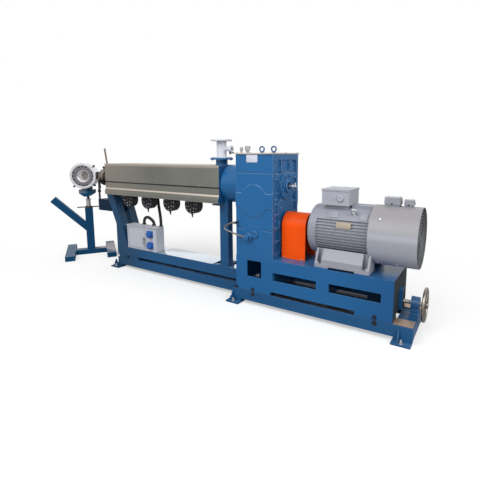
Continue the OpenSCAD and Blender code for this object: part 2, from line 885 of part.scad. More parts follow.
module box_door() {
    y1 = -nar_y - 1;
    color("whitesmoke") {
        box(door_x0, door_x0 + door_l, y1 - door_t, y1, door_z0, door_z0 + door_h);
        for (z = hinge_at) {
            rod_z(hinge_r, z + knuckle_h + fit, z + 2 * knuckle_h, hinge_x, hinge_y);
            box(hinge_x, door_x0 + 1, hinge_y, y1, z + knuckle_h + fit, z + 2 * knuckle_h);
        }
        rod_y(9, y1 - door_t - 8, y1 - door_t, door_x0 + door_l - 26, door_z0 + 128);
    }
}

socket_in = 92;
socket_x = ebox_x0 + ebox_l - socket_in;
socket_low = 74;
socket_high = 206;

module box_sockets() {
    color("royalblue") for (z = [rail_z1 + socket_low, rail_z1 + socket_high]) {
        rod_y(36, -nar_y - 26, -nar_y, socket_x, z);
        box(socket_x - 38, socket_x + 38, -nar_y - 12, -nar_y, z - 38, z + 38);
    }
}

// Corrugated conduits: one from under the tray to the box, one looped over the box
conduit_r = 18;
ebox_z1 = rail_z1 + ebox_h + 6;
conduit_y = -18;

drop_pts = [
    [-2012, tray_z0], [-2012, 880], [-2006, 820], [-1992, 730], [-1980, 650], [-1978, 600], [-1978, ebox_z1]
];
loop_pts = [
    [-2262, ebox_z1], [-2262, 590], [-2250, 622], [-2222, 642], [-2186, 644], [-2150, 632], [-2118, 612],
    [-2096, 588], [-2096, ebox_z1]
];
module conduits() {
    color("black") translate([0, conduit_y, 0]) {
        tube(drop_pts, conduit_r);
        tube(loop_pts, conduit_r);
    }
}

// Clamp that joins the adapter to the barrel's end flange, with its lever
clamp_l = 46;
clamp_r = 118;
lever_r = 11;
lever_l = 250;
clamp_x1 = end_x0;

module barrel_clamp() {
    x0 = clamp_x1 - clamp_l;
    color("silver") {
        difference() {
            union() {
                rod_x(clamp_r - 10, x0, clamp_x1, 0, axis_z);
                box(x0 + 6, clamp_x1 - 6, -34, 34, axis_z, axis_z + clamp_r + 14);
            }
            rod_x(clamp_r - 27, x0 - 1, clamp_x1 + 1, 0, axis_z);
        }
        translate([x0 + clamp_l / 2, 22, axis_z + clamp_r]) rotate([0, -10, 0])
            cylinder(r = lever_r, h = lever_l);
        translate([x0 + clamp_l / 2, -clamp_r, axis_z - 10]) rotate([0, 172, 0])
            cylinder(r = 14, h = 130);
    }
}

// Die head on its stand, turned towards the operator
head_out = 577;
head_x = end_x0 - head_out;
head_y = 79;
head_turn = -55;
ring_front = 135;
neck_r = 36;

// Work in the head's own frame: X along the die's outlet, at the post
module at_head() {
    translate([head_x, head_y, axis_z]) rotate([0, 0, head_turn]) children();
}

body_r = 166;
rear_r = 112;
rear_x0 = -120;

elbow_at = [34, 200];
elbow_end = [head_x + elbow_at[0] * cos(head_turn) - elbow_at[1] * sin(head_turn),
    head_y + elbow_at[0] * sin(head_turn) + elbow_at[1] * cos(head_turn)];
branch_r = 40;
elbow_r = 52;
neck_x1 = end_x0 - 24;
neck_gap = 1;
ring_x0 = ring_front - 40;

module adapter_neck() {
    d = [neck_x1 - elbow_end[0], -elbow_end[1]];
    color("dimgray") {
        difference() {
            union() {
                translate([elbow_end[0], elbow_end[1], axis_z]) {
                    rotate([0, 0, atan2(d[1], d[0])]) rotate([0, 90, 0]) cylinder(r = neck_r, h = norm(d));
                    translate([0, 0, -elbow_r]) cylinder(r = elbow_r, h = 2 * elbow_r, $fn = 8);
                }
                at_head() rod_y(branch_r, body_r - 20, elbow_at[1], elbow_at[0], 0);
            }
            die_solid();
        }
        rod_x(clamp_r - 28, neck_x1, end_x0 - neck_gap, 0, axis_z);
    }
}

screw_ring_r = 128;
screw_turn = 22;
face_r = 142;
face_sink = 6;
funnel_r = 96;
funnel_d = 26;

module die_ring() {
    color("silver") at_head() difference() {
        rod_x(ring_r, ring_x0, ring_front, 0, 0);
        rod_x(bore_r, ring_x0 - 1, ring_front + 1, 0, 0);
        rod_x(face_r, ring_front - face_sink, ring_front + 1, 0, 0);
        translate([ring_front - funnel_d, 0, 0]) rotate([0, 90, 0])
            cylinder(r1 = bore_r - 1, r2 = funnel_r, h = funnel_d);
        for (q = [0:90:270], k = [-1:1])
            rotate([q + screw_turn * k, 0, 0]) rod_x(8, ring_front - 24, ring_front + 1, screw_ring_r, 0);
    }
}

module die_solid() {
    at_head() {
        rod_x(body_r, ring_front - ring_d, ring_x0, 0, 0);
        rod_x(rear_r, rear_x0, ring_front - ring_d, 0, 0);
    }
}

bore_d = 165;

module die_body() {
    color("silver") difference() {
        die_solid();
        at_head() rod_x(bore_r, ring_front - bore_d, ring_front, 0, 0);
    }
}

saddle_drop = 288;
saddle_z0 = axis_z - saddle_drop;
saddle_x0 = -60;
saddle_x1 = 80;
saddle_y = 88;
block_y = 46;
saddle_gap = 0.5;
stem_r = 17;
stem_h = 34;

module head_saddle() {
    color("steelblue") translate([head_x, head_y, 0]) rotate([0, 0, head_turn]) {
        difference() {
            pull_x(saddle_x0, saddle_x1) polygon([
                [-22, saddle_z0], [-saddle_y, saddle_z0 + 46], [-saddle_y, saddle_z0 + 96],
                [-block_y, saddle_z0 + 66], [-block_y, axis_z], [block_y, axis_z],
                [block_y, saddle_z0 + 66], [saddle_y, saddle_z0 + 96], [saddle_y, saddle_z0 + 46],
                [22, saddle_z0]
            ]);
            rod_x(body_r + saddle_gap, -bed_w, bed_w, 0, axis_z);
        }
        rod_z(stem_r, saddle_z0 - stem_h, saddle_z0 + 4);
    }
}

base_turn = 56.5;
foot_h = 65;
foot_pitch = 510;

jack_r = 28;
jack_z0 = 580;
nut_r = 42;
nut_h = 26;
bar_r = 8;
bar_l = 145;

module saddle_jack() {
    z1 = saddle_z0 - stem_h;
    color("dimgray") translate([head_x, head_y, 0]) {
        rod_z(jack_r, jack_z0, z1);
        rod_z(jack_r + 6, z1 - 14, z1);
    }
}

// Nut that lifts the saddle, with its cross bars
module jack_nut() {
    color("dimgray") translate([head_x, head_y, 0]) {
        difference() {
            rod_z(nut_r, post_top + 0.5, post_top + nut_h);
            rod_z(jack_r + fit, post_top, post_top + nut_h + 1);
        }
        for (a = [0, 180])
            rotate([0, 0, base_turn + a]) rod_x(bar_r, nut_r - 6, bar_l, 0, post_top + nut_h / 2);
    }
}

arm_s = 430;
arm_t = 88;
arm_z0 = 345;
arm_rise = 46;

module die_stand() {
    color("steelblue") translate([head_x, head_y, 0]) rotate([0, 0, base_turn]) {
        difference() {
            box(-post_w / 2, post_w / 2, -post_w / 2, post_w / 2, foot_h - 1, post_top);
            rod_z(jack_r + fit, jack_z0 - 80, post_top + 1);
        }
        box(-foot_pitch / 2, foot_pitch / 2, -60, 60, 1, foot_h);
        for (s = [-1, 1])
            translate([s * foot_pitch / 2, 0, 0])
                box(-foot_w / 2, foot_w / 2, -foot_l / 2, foot_l / 2, 0, foot_h);
        translate([0, 0, arm_z0]) rotate([0, arm_rise, 0])
            box(-arm_s / cos(arm_rise), 0, -arm_t / 2, arm_t / 2, -arm_t / 2, arm_t / 2);
    }
}

// Handwheel on the lead screw
wheel_x = bed_x1 + 38;
wheel_r = 124;
rim_r = 11;
spoke_count = 3;

module handwheel() {
    color("silver") translate([wheel_x, 0, screw_z]) rotate([0, 90, 0]) {
        rotate_extrude() translate([wheel_r, 0]) circle(r = rim_r, $fn = 24);
        difference() {
            translate([0, 0, -20]) cylinder(r = 27, h = 40);
            translate([0, 0, -21]) cylinder(r = screw_r - 2, h = 42);
        }
        for (a = [0:360 / spoke_count:359])
            rotate([0, 0, a]) translate([24, 0, 0]) rotate([0, 90, 0]) cylinder(r = 8, h = wheel_r - 24);
    }
}

screw_x0 = frame_x1 - 80;

module lead_screw() {
    color("lightgray") {
        rod_x(screw_r, screw_x0, wheel_x - 20, 0, screw_z);
        rod_x(screw_r - 2, wheel_x - 21, wheel_x + 24, 0, screw_z);
    }
}

bed_frame();
foot_pads();
slide_ways();
carriage_rails();
drive_frame();
gearbox_case();
gearbox_lid();
breather_caps();
lifting_eyes();
bearing_cap();
rotary_fitting();
oil_pump();
oil_pipe();
coupling_guard();
motor_shield();
motor_body();
motor_feet();
terminal_box();
fan_cowl();
cowl_boxes();
feed_housing();
feed_throat();
feed_tube();
rear_columns();
front_legs();
front_bracket();
barrel_jack();
barrel();
cover_upper();
cover_lower();
cooling_blowers();
electric_box();
box_door();
box_sockets();
conduits();
barrel_clamp();
adapter_neck();
die_ring();
die_body();
head_saddle();
saddle_jack();
jack_nut();
die_stand();
handwheel();
lead_screw();
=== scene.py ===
# %% [markdown]
# # Dressing a plastic pipe extruder
# The solids come from the construction file and stay as they are. This lesson gives each of them a finish,
# and adds what is too small for the solids: bolts and screws, blank plates, wire guards, keys and the ribs
# of the conduits. The frame is in metres, X runs along the screw towards the motor, and the operator's side
# is -Y. Small parts are placed in millimetres, as a drawing gives them.

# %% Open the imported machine
import math

import bmesh
import bpy
from mathutils import Matrix, Vector


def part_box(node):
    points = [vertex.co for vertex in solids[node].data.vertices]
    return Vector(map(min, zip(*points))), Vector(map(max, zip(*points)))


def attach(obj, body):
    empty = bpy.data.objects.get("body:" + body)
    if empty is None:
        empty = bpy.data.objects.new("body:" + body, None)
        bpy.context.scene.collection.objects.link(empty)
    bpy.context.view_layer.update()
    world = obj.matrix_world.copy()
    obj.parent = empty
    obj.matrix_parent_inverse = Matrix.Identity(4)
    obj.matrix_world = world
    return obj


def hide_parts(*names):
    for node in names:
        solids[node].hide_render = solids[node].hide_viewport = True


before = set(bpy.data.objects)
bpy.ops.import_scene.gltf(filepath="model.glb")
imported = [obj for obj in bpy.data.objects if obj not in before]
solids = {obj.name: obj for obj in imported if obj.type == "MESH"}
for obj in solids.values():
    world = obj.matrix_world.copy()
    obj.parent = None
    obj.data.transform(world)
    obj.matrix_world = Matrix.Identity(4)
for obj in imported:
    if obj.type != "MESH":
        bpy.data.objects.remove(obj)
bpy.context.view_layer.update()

# %% [markdown]
# ## Directions and axes that pieces share
# Bolts, plates and finishes refer to the same few directions and axes. Each is written once, so a finish
# that follows the motor's curve and a bolt ring on the motor can't drift apart.

# %% Shared directions and axes
FRONT, UP, DOWN, RIGHT, LEFT = (0, -1, 0), (0, 0, 1), (0, 0, -1), (1, 0, 0), (-1, 0, 0)
SCREW_Z, MOTOR_Z = 1100, 752  # heights of the extruder screw and the motor shaft, in mm
MOTOR_AXIS = (0.0, 0.0, MOTOR_Z / 1000)
HEAD = Vector((-3.513, 0.079, SCREW_Z / 1000))
HEAD_TURN = math.radians(-55)
HEAD_AXIS = Vector((math.cos(HEAD_TURN), math.sin(HEAD_TURN), 0.0))
HEAD_SIDE = Vector((-HEAD_AXIS.y, HEAD_AXIS.x, 0.0))
RING_FRONT, SCREW_RING_R, BORE_R = 0.135, 0.128, 0.0735
print("motor shaft at", MOTOR_Z, "mm, extruder screw at", SCREW_Z, "mm")

# %% [markdown]
# ## Shader maths as plain expressions
# A material is a small program of nodes. Wiring hundreds of nodes by hand is hard to read, so one class
# wraps a socket and overloads the arithmetic operators. Numbers go through Math nodes. Colours and vectors
# go through Mix and Vector Math, because a Math node would turn a colour grey.

# %% The socket wrapper
def operator(operation, reflected=False):
    """A method that adds the node of one arithmetic operator."""
    def apply(wire, other):
        first, second = (other, wire) if reflected else (wire, other)
        return wire.maths(operation, first, second)
    return apply


class Wire:
    """One output socket of a node tree, with arithmetic."""

    def __init__(self, nodes, socket):
        self.nodes, self.socket = nodes, socket

    def maths(self, operation, *values):
        """A Math node, or a Vector Math node where this wire carries a vector."""
        kind = "ShaderNodeVectorMath" if self.socket.type in ("VECTOR", "RGBA") else "ShaderNodeMath"
        return self.nodes.add(kind, {"operation": operation}, dict(enumerate(values)))

    __add__, __radd__ = operator("ADD"), operator("ADD", reflected=True)
    __sub__, __rsub__ = operator("SUBTRACT"), operator("SUBTRACT", reflected=True)
    __mul__ = __rmul__ = operator("MULTIPLY")
    __pow__, __rpow__ = operator("POWER"), operator("POWER", reflected=True)

    def wave(self):
        """A sine of this value."""
        return self.maths("SINE", self)

    def dot(self, other):
        """The dot product of two vectors."""
        return self.nodes.add(
            "ShaderNodeVectorMath", {"operation": "DOT_PRODUCT"}, {0: self, 1: other}, "Value")

    def part(self, axis):
        """X, Y or Z of a vector."""
        return self.nodes.add("ShaderNodeSeparateXYZ", None, {"Vector": self}, axis)

    def above(self, limit, soft):
        """0 below the limit and 1 above it, with a soft edge."""
        return self.nodes.add(
            "ShaderNodeMapRange", {"interpolation_type": "SMOOTHSTEP"},
            {"Value": self, "From Min": limit - soft, "From Max": limit + soft}, "Result")

    def below(self, limit, soft):
        """1 below the limit and 0 above it."""
        return 1.0 - self.above(limit, soft)

    def between(self, low, high, soft, high_soft=None):
        """1 between the limits and 0 outside them. The upper edge may have a softness of its own."""
        return self.above(low, soft) * self.below(high, high_soft or soft)


print("operators ready: + - * **")

# %% [markdown]
# ## A finish is built in layers
# A painter lays one coat over another, and a material can be built the same way: a base tone, and then
# layers that a mask lets through. One method makes every node, so the settings are always set first and a
# socket takes a value or a wire alike.

# %% The finish builder
class Nodes:
    """A node tree. Every node comes from add()."""

    def __init__(self, tree):
        self.tree = tree

    def feed(self, socket, value):
        """Links a wire to a socket, or sets the socket to a value."""
        if isinstance(value, Wire):
            self.tree.links.new(value.socket, socket)
        else:
            socket.default_value = (*value, 1.0) if socket.type == "RGBA" else value

    def add(self, kind, settings=None, sockets=None, out=0):
        """One node: its type, its settings, its sockets' values or wires, and which output is wanted."""
        made = self.tree.nodes.new(kind)
        for key, value in (settings or {}).items():
            setattr(made, key, value)
        for key, value in (sockets or {}).items():
            self.feed(made.inputs[key], value)
        return Wire(self, made.outputs[out])


class Finish(Nodes):
    """A material under construction, in layers on a base tone."""

    def __init__(self, name, tone, metallic, roughness, mirror=0.5):
        """mirror is how strongly a paint reflects, and 0.5 is a common varnish."""
        self.material = bpy.data.materials.new(name)
        self.material.use_nodes = True
        super().__init__(self.material.node_tree)
        self.shader = self.tree.nodes["Principled BSDF"]
        self.tone = tone
        for socket, value in (("Base Color", tone), ("Metallic", metallic), ("Roughness", roughness),
                              ("Specular IOR Level", mirror)):
            self.vary(socket, value)

    def vary(self, socket, value):
        """Feeds one socket of the shader."""
        self.feed(self.shader.inputs[socket], value)

    def blend(self, mask, low, high):
        """The colour low where the mask is 0 and high where it is 1."""
        return self.add("ShaderNodeMix", {"data_type": "RGBA"}, {0: mask, 6: low, 7: high}, 2)

    def layer(self, mask, colour):
        """Lays a colour over the tone so far, where the mask is 1."""
        self.tone = self.blend(mask, self.tone, colour)
        self.vary("Base Color", self.tone)

    def place(self):
        """The surface point in the machine's frame, in metres."""
        return self.add("ShaderNodeTexCoord", out="Object")

    def at(self, axis):
        """X, Y or Z of the surface point."""
        return self.place().part(axis)

    def faces(self, axis="Z"):
        """How far the surface faces along an axis, from -1 to 1. Z is upward."""
        return self.add("ShaderNodeNewGeometry", out="Normal").part(axis)

    def noise(self, scale, detail=3.0, rough=0.55, along=None, drawn=0.008):
        """Clouds of values round 0.5. Along an axis they are drawn out into scratches."""
        point = self.place()
        if along:
            point = point * self.add("ShaderNodeCombineXYZ", None,
                                     {axis: drawn if axis == along else 1.0 for axis in "XYZ"})
        return self.add("ShaderNodeTexNoise", None,
                        {"Vector": point, "Scale": scale, "Detail": detail, "Roughness": rough}, "Fac")

    def cells(self, scale):
        """Distance from the nearest of many scattered points."""
        return self.add("ShaderNodeTexVoronoi", None, {"Vector": self.place(), "Scale": scale}, "Distance")

    def soft_edges(self, radius):
        """The surface direction as if every sharp edge were rounded by the radius."""
        return self.add("ShaderNodeBevel", {"samples": 4}, {"Radius": radius})

    def edge(self, radius):
        """0 on flat faces, and more where the rounded direction leaves the flat one."""
        return 1.0 - self.soft_edges(radius).dot(self.add("ShaderNodeNewGeometry", out="Normal"))

    def around(self, centre, axis):
        """Distance of the surface from a line through the centre, and how far along the line it is."""
        reach = self.place() - centre
        along = reach.dot(axis)
        return (reach.dot(reach) - along * along) ** 0.5, along

    def bump(self, height, distance, strength, radius=0.0):
        """Small relief in the shading, over edges that look rounded where a radius is given."""
        sockets = {"Height": height, "Distance": distance, "Strength": strength}
        if radius:
            sockets["Normal"] = self.soft_edges(radius)
        self.vary("Normal", self.add("ShaderNodeBump", None, sockets))


def shade(colour, factor):
    """A colour made darker or lighter."""
    return tuple(c * factor for c in colour)


print("finish builder ready")

# %% [markdown]
# ## Machine enamel
# The beams and castings carry a blue enamel, sprayed and semi-gloss. It isn't one flat blue: large soft
# patches are a little lighter, a fine orange peel breaks the reflections, dust lies on faces that look up,
# and edges are rubbed paler, which where the edge mask is strong is a painted highlight as well as wear. Each
# of these is a mask, because a single colour would look like plastic. A Bevel node rounds the edges in the
# shading alone, so each plate catches a thin line of light.

# %% The enamel
def enamel(name, base, pale, dust_and_highlight, gloss=0.3, peel=0.2, dust=0.4, radius=0.003, rub_and_highlight=0.45, mirror=0.35):
    """peel, dust and the edge amount set the orange peel, the dust, and the pale rubbed edge, which is also a
    painted highlight.
    """
    paint = Finish(name, base, 0.0, gloss, mirror)
    paint.layer(paint.noise(1.4).above(0.5, 0.3) * 0.45, pale)
    settled = paint.faces().above(0.8, 0.15) * paint.noise(7.0, 5.0).above(0.5, 0.25) * dust
    # The pale edge is rubbed paint, and where its amount is high, as on the gear case, a painted highlight
    # too.
    rubbed_and_highlit = paint.edge(radius).above(0.05, 0.05) * paint.noise(26.0, 5.0).above(0.42, 0.25) * rub_and_highlight
    specks = paint.cells(60.0).below(0.045, 0.015) * 0.25
    for mask in (settled, rubbed_and_highlit, specks):
        paint.layer(mask, dust_and_highlight)
    paint.vary("Roughness", gloss + 0.14 * paint.noise(5.0) + settled * 0.3)
    paint.bump(paint.noise(420.0, 2.0), 0.0004, peel, radius)
    return paint


BED_BLUE, CASE_BLUE, CASE_DUST_AND_HIGHLIGHT = (0.006, 0.070, 0.185), (0.010, 0.105, 0.280), (0.26, 0.42, 0.62)
machine_blue = enamel("machine_blue", (0.008, 0.100, 0.270), (0.014, 0.128, 0.32), (0.13, 0.25, 0.43),
                      gloss=0.24)
# Painted highlight: the gear case's pale edges are strong, to stand for bright glints on its ribs.
case_blue = enamel("case_blue", CASE_BLUE, (0.018, 0.135, 0.335), CASE_DUST_AND_HIGHLIGHT,
                   gloss=0.24, radius=0.006, rub_and_highlight=0.8)
# Painted shade: the bed's blue is a darker copy of the machine blue, for its low parts where less light
# falls.
bed_blue = enamel("bed_blue", BED_BLUE, (0.010, 0.092, 0.225), (0.10, 0.19, 0.32))
# Painted shade: the front bracket is a much darker blue, for the shade under the cover.
bracket_blue = enamel("bracket_blue", (0.003, 0.016, 0.038), (0.005, 0.026, 0.058), (0.04, 0.10, 0.17),
                      gloss=0.4, mirror=0.12)
stand_blue = enamel("stand_blue", (0.004, 0.051, 0.126), (0.007, 0.066, 0.155), (0.09, 0.15, 0.22),
                    gloss=0.26, dust=0.1, mirror=0.12)
print("enamels:", machine_blue.material.name, bed_blue.material.name, stand_blue.material.name)

# %% [markdown]
# The same blue isn't the same everywhere. The drive frame darkens towards the motor, and its end face is
# painted near black as shade and made dull. The bed is greener near the die, the top face of one foot of the
# stand is paler, and the stand's upper parts on the operator's side carry a painted highlight. Masks of
# place do this, because the real parts aren't cut apart there either.

# %% Where the blue differs from place to place
across = machine_blue.at("X")
machine_blue.layer(across.above(0.45, 0.35) * 0.6, (0.004, 0.062, 0.185))
# Painted shade: the drive frame's end face is painted near black.
end_face = machine_blue.faces("X").above(0.8, 0.1) * across.above(0.6, 0.01)
machine_blue.layer(end_face, (0.006, 0.016, 0.020))
machine_blue.vary("Roughness", 0.26 + 0.5 * end_face)

bed_blue.layer(bed_blue.at("X").below(-2.25, 0.3), (0.006, 0.050, 0.118))

# The top face of one foot of the stand is paler.
pale_foot_top = (stand_blue.faces().above(0.8, 0.1) * stand_blue.at("X").above(-3.60, 0.02)
        * stand_blue.at("Y").above(0.17, 0.02))
stand_blue.layer(pale_foot_top * 0.85, (0.30, 0.275, 0.290))
# Painted highlight on the stand's upper parts on the operator's side.
painted_highlight_patch = stand_blue.at("Y").below(0.02, 0.02) * stand_blue.at("Z").above(0.86, 0.005)
stand_blue.layer(painted_highlight_patch * 0.7, (0.16, 0.22, 0.29))
print("blue varied on 3 finishes")

# %% [markdown]
# The gear case is split where lid and feet meet it. A dark groove with a painted highlight under it reads as
# such a joint, and costs no faces.

# %% Joint lines on the gear case
CASE_JOINTS = [(1.226, -0.8, -0.3), (0.716, -0.73, -0.643), (0.716, -0.458, -0.34)]  # height, from x, to x
for height, x0, x1 in CASE_JOINTS:
    inside, upward = case_blue.at("X").between(x0, x1, 0.002), case_blue.at("Z")
    groove = upward.between(height - 0.003, height + 0.002, 0.001) * inside
    # Painted highlight: a bright line just under each groove.
    glint = upward.between(height - 0.008, height - 0.003, 0.002, 0.001) * inside
    case_blue.layer(groove * 0.8, shade(CASE_BLUE, 0.25))
    case_blue.layer(glint * 0.35, CASE_DUST_AND_HIGHLIGHT)
print("joints on the gear case:", len(CASE_JOINTS))

# %% [markdown]
# ## Sprayed greys, white and orange
# The motor, its cowl and the electric box are pale grey in different tones, the feed tube is white and the
# guard over the coupling is a warning orange. The same enamel function serves, with other numbers: the box
# is powder coated, so its bump is coarser.

# %% Motor grey, box grey, white and orange
motor_grey = enamel("motor_grey", (0.265, 0.272, 0.315), (0.31, 0.315, 0.355), (0.40, 0.40, 0.43),
                    0.36, 0.2, 0.3)
lid_grey = enamel("lid_grey", (0.35, 0.365, 0.415), (0.40, 0.41, 0.45), (0.52, 0.52, 0.55), 0.34, 0.2, 0.3)
box_grey = enamel("box_grey", (0.43, 0.455, 0.51), (0.48, 0.50, 0.55), (0.56, 0.55, 0.54), 0.45, 0.4, 0.3)
white = enamel("tube_white", (0.60, 0.62, 0.67), (0.66, 0.68, 0.72), (0.46, 0.45, 0.44), 0.32, 0.15, 0.3)
plate_white = enamel("plate_white", (0.58, 0.61, 0.70), (0.64, 0.66, 0.74), (0.5, 0.5, 0.52), 0.4, 0.1, 0.2)
orange = enamel("guard_orange", (0.94, 0.085, 0.003), (0.98, 0.105, 0.005), (0.90, 0.30, 0.12),
                0.28, 0.15, 0.2, mirror=0.12)
# Painted shade: the guard's upward faces are a darker orange.
orange.layer(orange.faces().above(0.35, 0.3) * 0.8, (0.66, 0.066, 0.006))
print("sprayed paints ready")

# %% [markdown]
# The motor's shell is cast with fins. The grooves between them are painted paler, as painted light against
# the shade between the fins: the distance from the motor's axis picks them, and the fins' crests stay darker.
# The edges carry a painted highlight.

# %% The finned shell
CREST, CREST_R = (0.240, 0.250, 0.295), 0.204
shell_grey = Finish("shell_grey", CREST, 0.0, 0.4, 0.35)
shell_grey.layer(shell_grey.noise(3.0, 4.0).above(0.5, 0.3) * 0.5, shade(CREST, 1.15))
# Painted highlight on the shell's edges.
shell_grey.layer(shell_grey.edge(0.003).above(0.06, 0.05) * 0.5, (0.48, 0.49, 0.52))
# Painted light: the grooves between the fins are paler.
shell_grey.layer(shell_grey.around(MOTOR_AXIS, RIGHT)[0].below(CREST_R, 0.003), (0.49, 0.50, 0.55))
shell_grey.vary("Roughness", 0.36 + 0.2 * shell_grey.noise(8.0))
shell_grey.bump(shell_grey.noise(300.0), 0.0005, 0.25, 0.003)
print("shell paint:", shell_grey.material.name)

# %% [markdown]
# The fan cowl is open at its end. The distance from the motor's axis tells inside from outside, so one mask
# paints shade on the inner wall and the grille bars. The top is painted darker and warmer than the flanks as
# shade, the underside is painted paler as light from the floor, and a painted highlight runs as a soft pale
# belt along the middle of each flank.

# %% The cowl, pale outside and dark inside
COWL, COWL_R = (0.300, 0.303, 0.335), 0.2355
cowl_grey = Finish("cowl_grey", COWL, 0.0, 0.36, 0.4)
cowl_grey.layer(cowl_grey.noise(2.0).above(0.5, 0.3) * 0.5, shade(COWL, 1.12))
# Painted shade on the top, painted light on the underside, a painted highlight belt, and painted shade
# inside.
cowl_grey.layer(cowl_grey.faces().above(0.35, 0.25) * 0.9, (0.262, 0.252, 0.258))
cowl_grey.layer(cowl_grey.faces().below(-0.2, 0.3) * 0.9, (0.365, 0.385, 0.435))
cowl_grey.layer(cowl_grey.faces().between(0.0, 0.18, 0.08) * 0.4, (0.46, 0.475, 0.545))
cowl_grey.layer(cowl_grey.around(MOTOR_AXIS, RIGHT)[0].below(COWL_R, 0.0008), (0.17, 0.175, 0.19))
cowl_grey.vary("Roughness", 0.34 + 0.2 * cowl_grey.noise(7.0))
cowl_grey.bump(cowl_grey.noise(300.0, 2.0), 0.0004, 0.15, 0.003)
print("cowl paint:", cowl_grey.material.name)

# %% [markdown]
# ## Brushed metals
# The lid, the oil pipe and the bolts are bare metal, drawn or brushed one way. Brushing is a noise that is
# stretched a hundred times along an axis, so each scratch is long and thin. It changes the roughness and
# the bump, and a little of the colour. A slow noise adds the faint clouds that handling and heat leave.

# %% Brushed metals
def brushed(name, tone, warm, along, roughness, metallic, fine=900.0):
    """Bare metal with scratches along an axis. A higher fine gives narrower scratches."""
    sheet = Finish(name, tone, metallic, roughness)
    scratch, clouds = sheet.noise(fine, 3.0, 0.6, along), sheet.noise(1.1, 4.0)
    sheet.layer(clouds.above(0.5, 0.2) * 0.8, warm)
    sheet.layer(scratch.above(0.6, 0.15) * 0.3, shade(tone, 0.7))
    sheet.vary("Roughness", roughness + 0.22 * scratch + 0.1 * clouds)
    sheet.bump(scratch, 0.0003, 0.25, 0.003)
    return sheet


lid_sheet = brushed("lid_sheet", (0.47, 0.45, 0.41), (0.52, 0.49, 0.43), "Y", 0.4, 0.4)
turned = brushed("turned_steel", (0.58, 0.59, 0.62), (0.68, 0.69, 0.72), "Z", 0.22, 0.9, 1400.0)
cap_metal = brushed("cap_metal", (0.34, 0.34, 0.35), (0.42, 0.41, 0.40), "Z", 0.36, 0.7)
pipe_metal = brushed("pipe_metal", (0.17, 0.165, 0.16), (0.30, 0.285, 0.27), "X", 0.22, 0.95)
bolt_steel = brushed("bolt_steel", (0.36, 0.39, 0.44), (0.46, 0.48, 0.52), "Z", 0.3, 0.9)
plate_metal = brushed("plate_metal", (0.235, 0.195, 0.145), (0.30, 0.26, 0.205), "X", 0.35, 0.4)
# Painted shade: the chrome is given a dark tone for the darker surroundings it mirrors.
chrome = brushed("wheel_chrome", (0.20, 0.19, 0.17), (0.38, 0.35, 0.30), "X", 0.14, 1.0, 600.0)
deck_steel = brushed("deck_steel", (0.76, 0.82, 0.88), (0.64, 0.73, 0.82), "X", 0.04, 0.9, 300.0)
print("metals:", lid_sheet.material.name, turned.material.name, bolt_steel.material.name)

# %% [markdown]
# The folded covers are stainless sheet with more masks. Their bends and the top of the hood carry painted
# highlights, the slope under the lip is painted darker as shade and carries a painted highlight line near its
# top, and the end near the die is warmer than the end near the gear case. The joint between hood and tray is
# a dark line, and the end face that meets the housing is painted blue.

# %% The folded covers
LINE_Z, JOINT_Z, LIP_Z, END_X = 0.979, (1.056, 1.072), 1.258, -0.9705
cover_sheet = Finish("cover_sheet", (0.200, 0.202, 0.180), 0.8, 0.26)
scratch = cover_sheet.noise(900.0, 3.0, 0.6, "X")
clouds = cover_sheet.noise(1.1, 4.0).above(0.5, 0.2)
across, height = cover_sheet.at("X"), cover_sheet.at("Z")
slope = cover_sheet.faces().between(0.25, 0.7, 0.08, 0.1)
end_face = across.above(END_X, 0.0004)
for mask, colour in (
        (across.below(-2.25, 0.45), (0.340, 0.302, 0.256)),
        (clouds * 0.5, (0.28, 0.275, 0.245)),
        (scratch.above(0.6, 0.15) * 0.3, (0.13, 0.13, 0.117)),
        # painted shade on the slope, and a painted highlight line near its top
        (slope * 0.42, (0.02, 0.02, 0.018)),
        (slope * height.above(LINE_Z, 0.004), (0.50, 0.44, 0.385)),
        # painted highlights on the bends and along the top of the hood
        (cover_sheet.edge(0.007).above(0.04, 0.04) * 0.5, (0.52, 0.47, 0.40)),
        (height.above(LIP_Z, 0.008) * 0.8, (0.50, 0.44, 0.38)),
        (height.between(*JOINT_Z, 0.003) * 0.9, (0.045, 0.05, 0.045)),
        (end_face, (0.008, 0.090, 0.250))):
    cover_sheet.layer(mask, colour)
cover_sheet.vary("Metallic", 0.8 - 0.8 * end_face)
cover_sheet.vary("Roughness", 0.26 + 0.2 * scratch + 0.1 * clouds)
cover_sheet.bump(scratch, 0.0003, 0.25, 0.004)
print("covers:", cover_sheet.material.name)

# %% [markdown]
# ## Ways, worn on top and painted at the edge
# The strips that the carriage slides on are machined and oiled on top, and painted over at their edges.
# Which way the surface faces decides between the two, for the colour and for the metallic value alike. Their
# tops are a dark blue as painted shade under the carriage, except past 0.67 m along X, where tan metal shows.

# %% The slide ways
# Painted shade: the tops' base tone is a dark blue.
way_metal = Finish("way_metal", (0.018, 0.034, 0.070), 0.0, 0.35)
top = way_metal.faces().above(0.7, 0.1)
way_metal.layer(way_metal.noise(5.0, 5.0, 0.6).above(0.58, 0.12), (0.110, 0.098, 0.090))
way_metal.layer(way_metal.at("X").above(0.67, 0.02), (0.50, 0.36, 0.27))
way_metal.layer(1.0 - top, BED_BLUE)
way_metal.vary("Metallic", top * 0.65)
way_metal.vary("Roughness", 0.3 + 0.3 * way_metal.noise(40.0, along="X", drawn=0.05))
way_metal.bump(way_metal.noise(700.0, 2.0, along="X", drawn=0.02), 0.0003, 0.3, 0.002)
print("ways:", way_metal.material.name)

# %% [markdown]
# ## Dark steel, black paint and plastics
# The barrel and neck run hot, so their steel is dark and blotchy. Bolt heads are black oxide, and the
# blowers, conduits and sockets are moulded or sprayed. One blotchy noise at two tones serves them all.

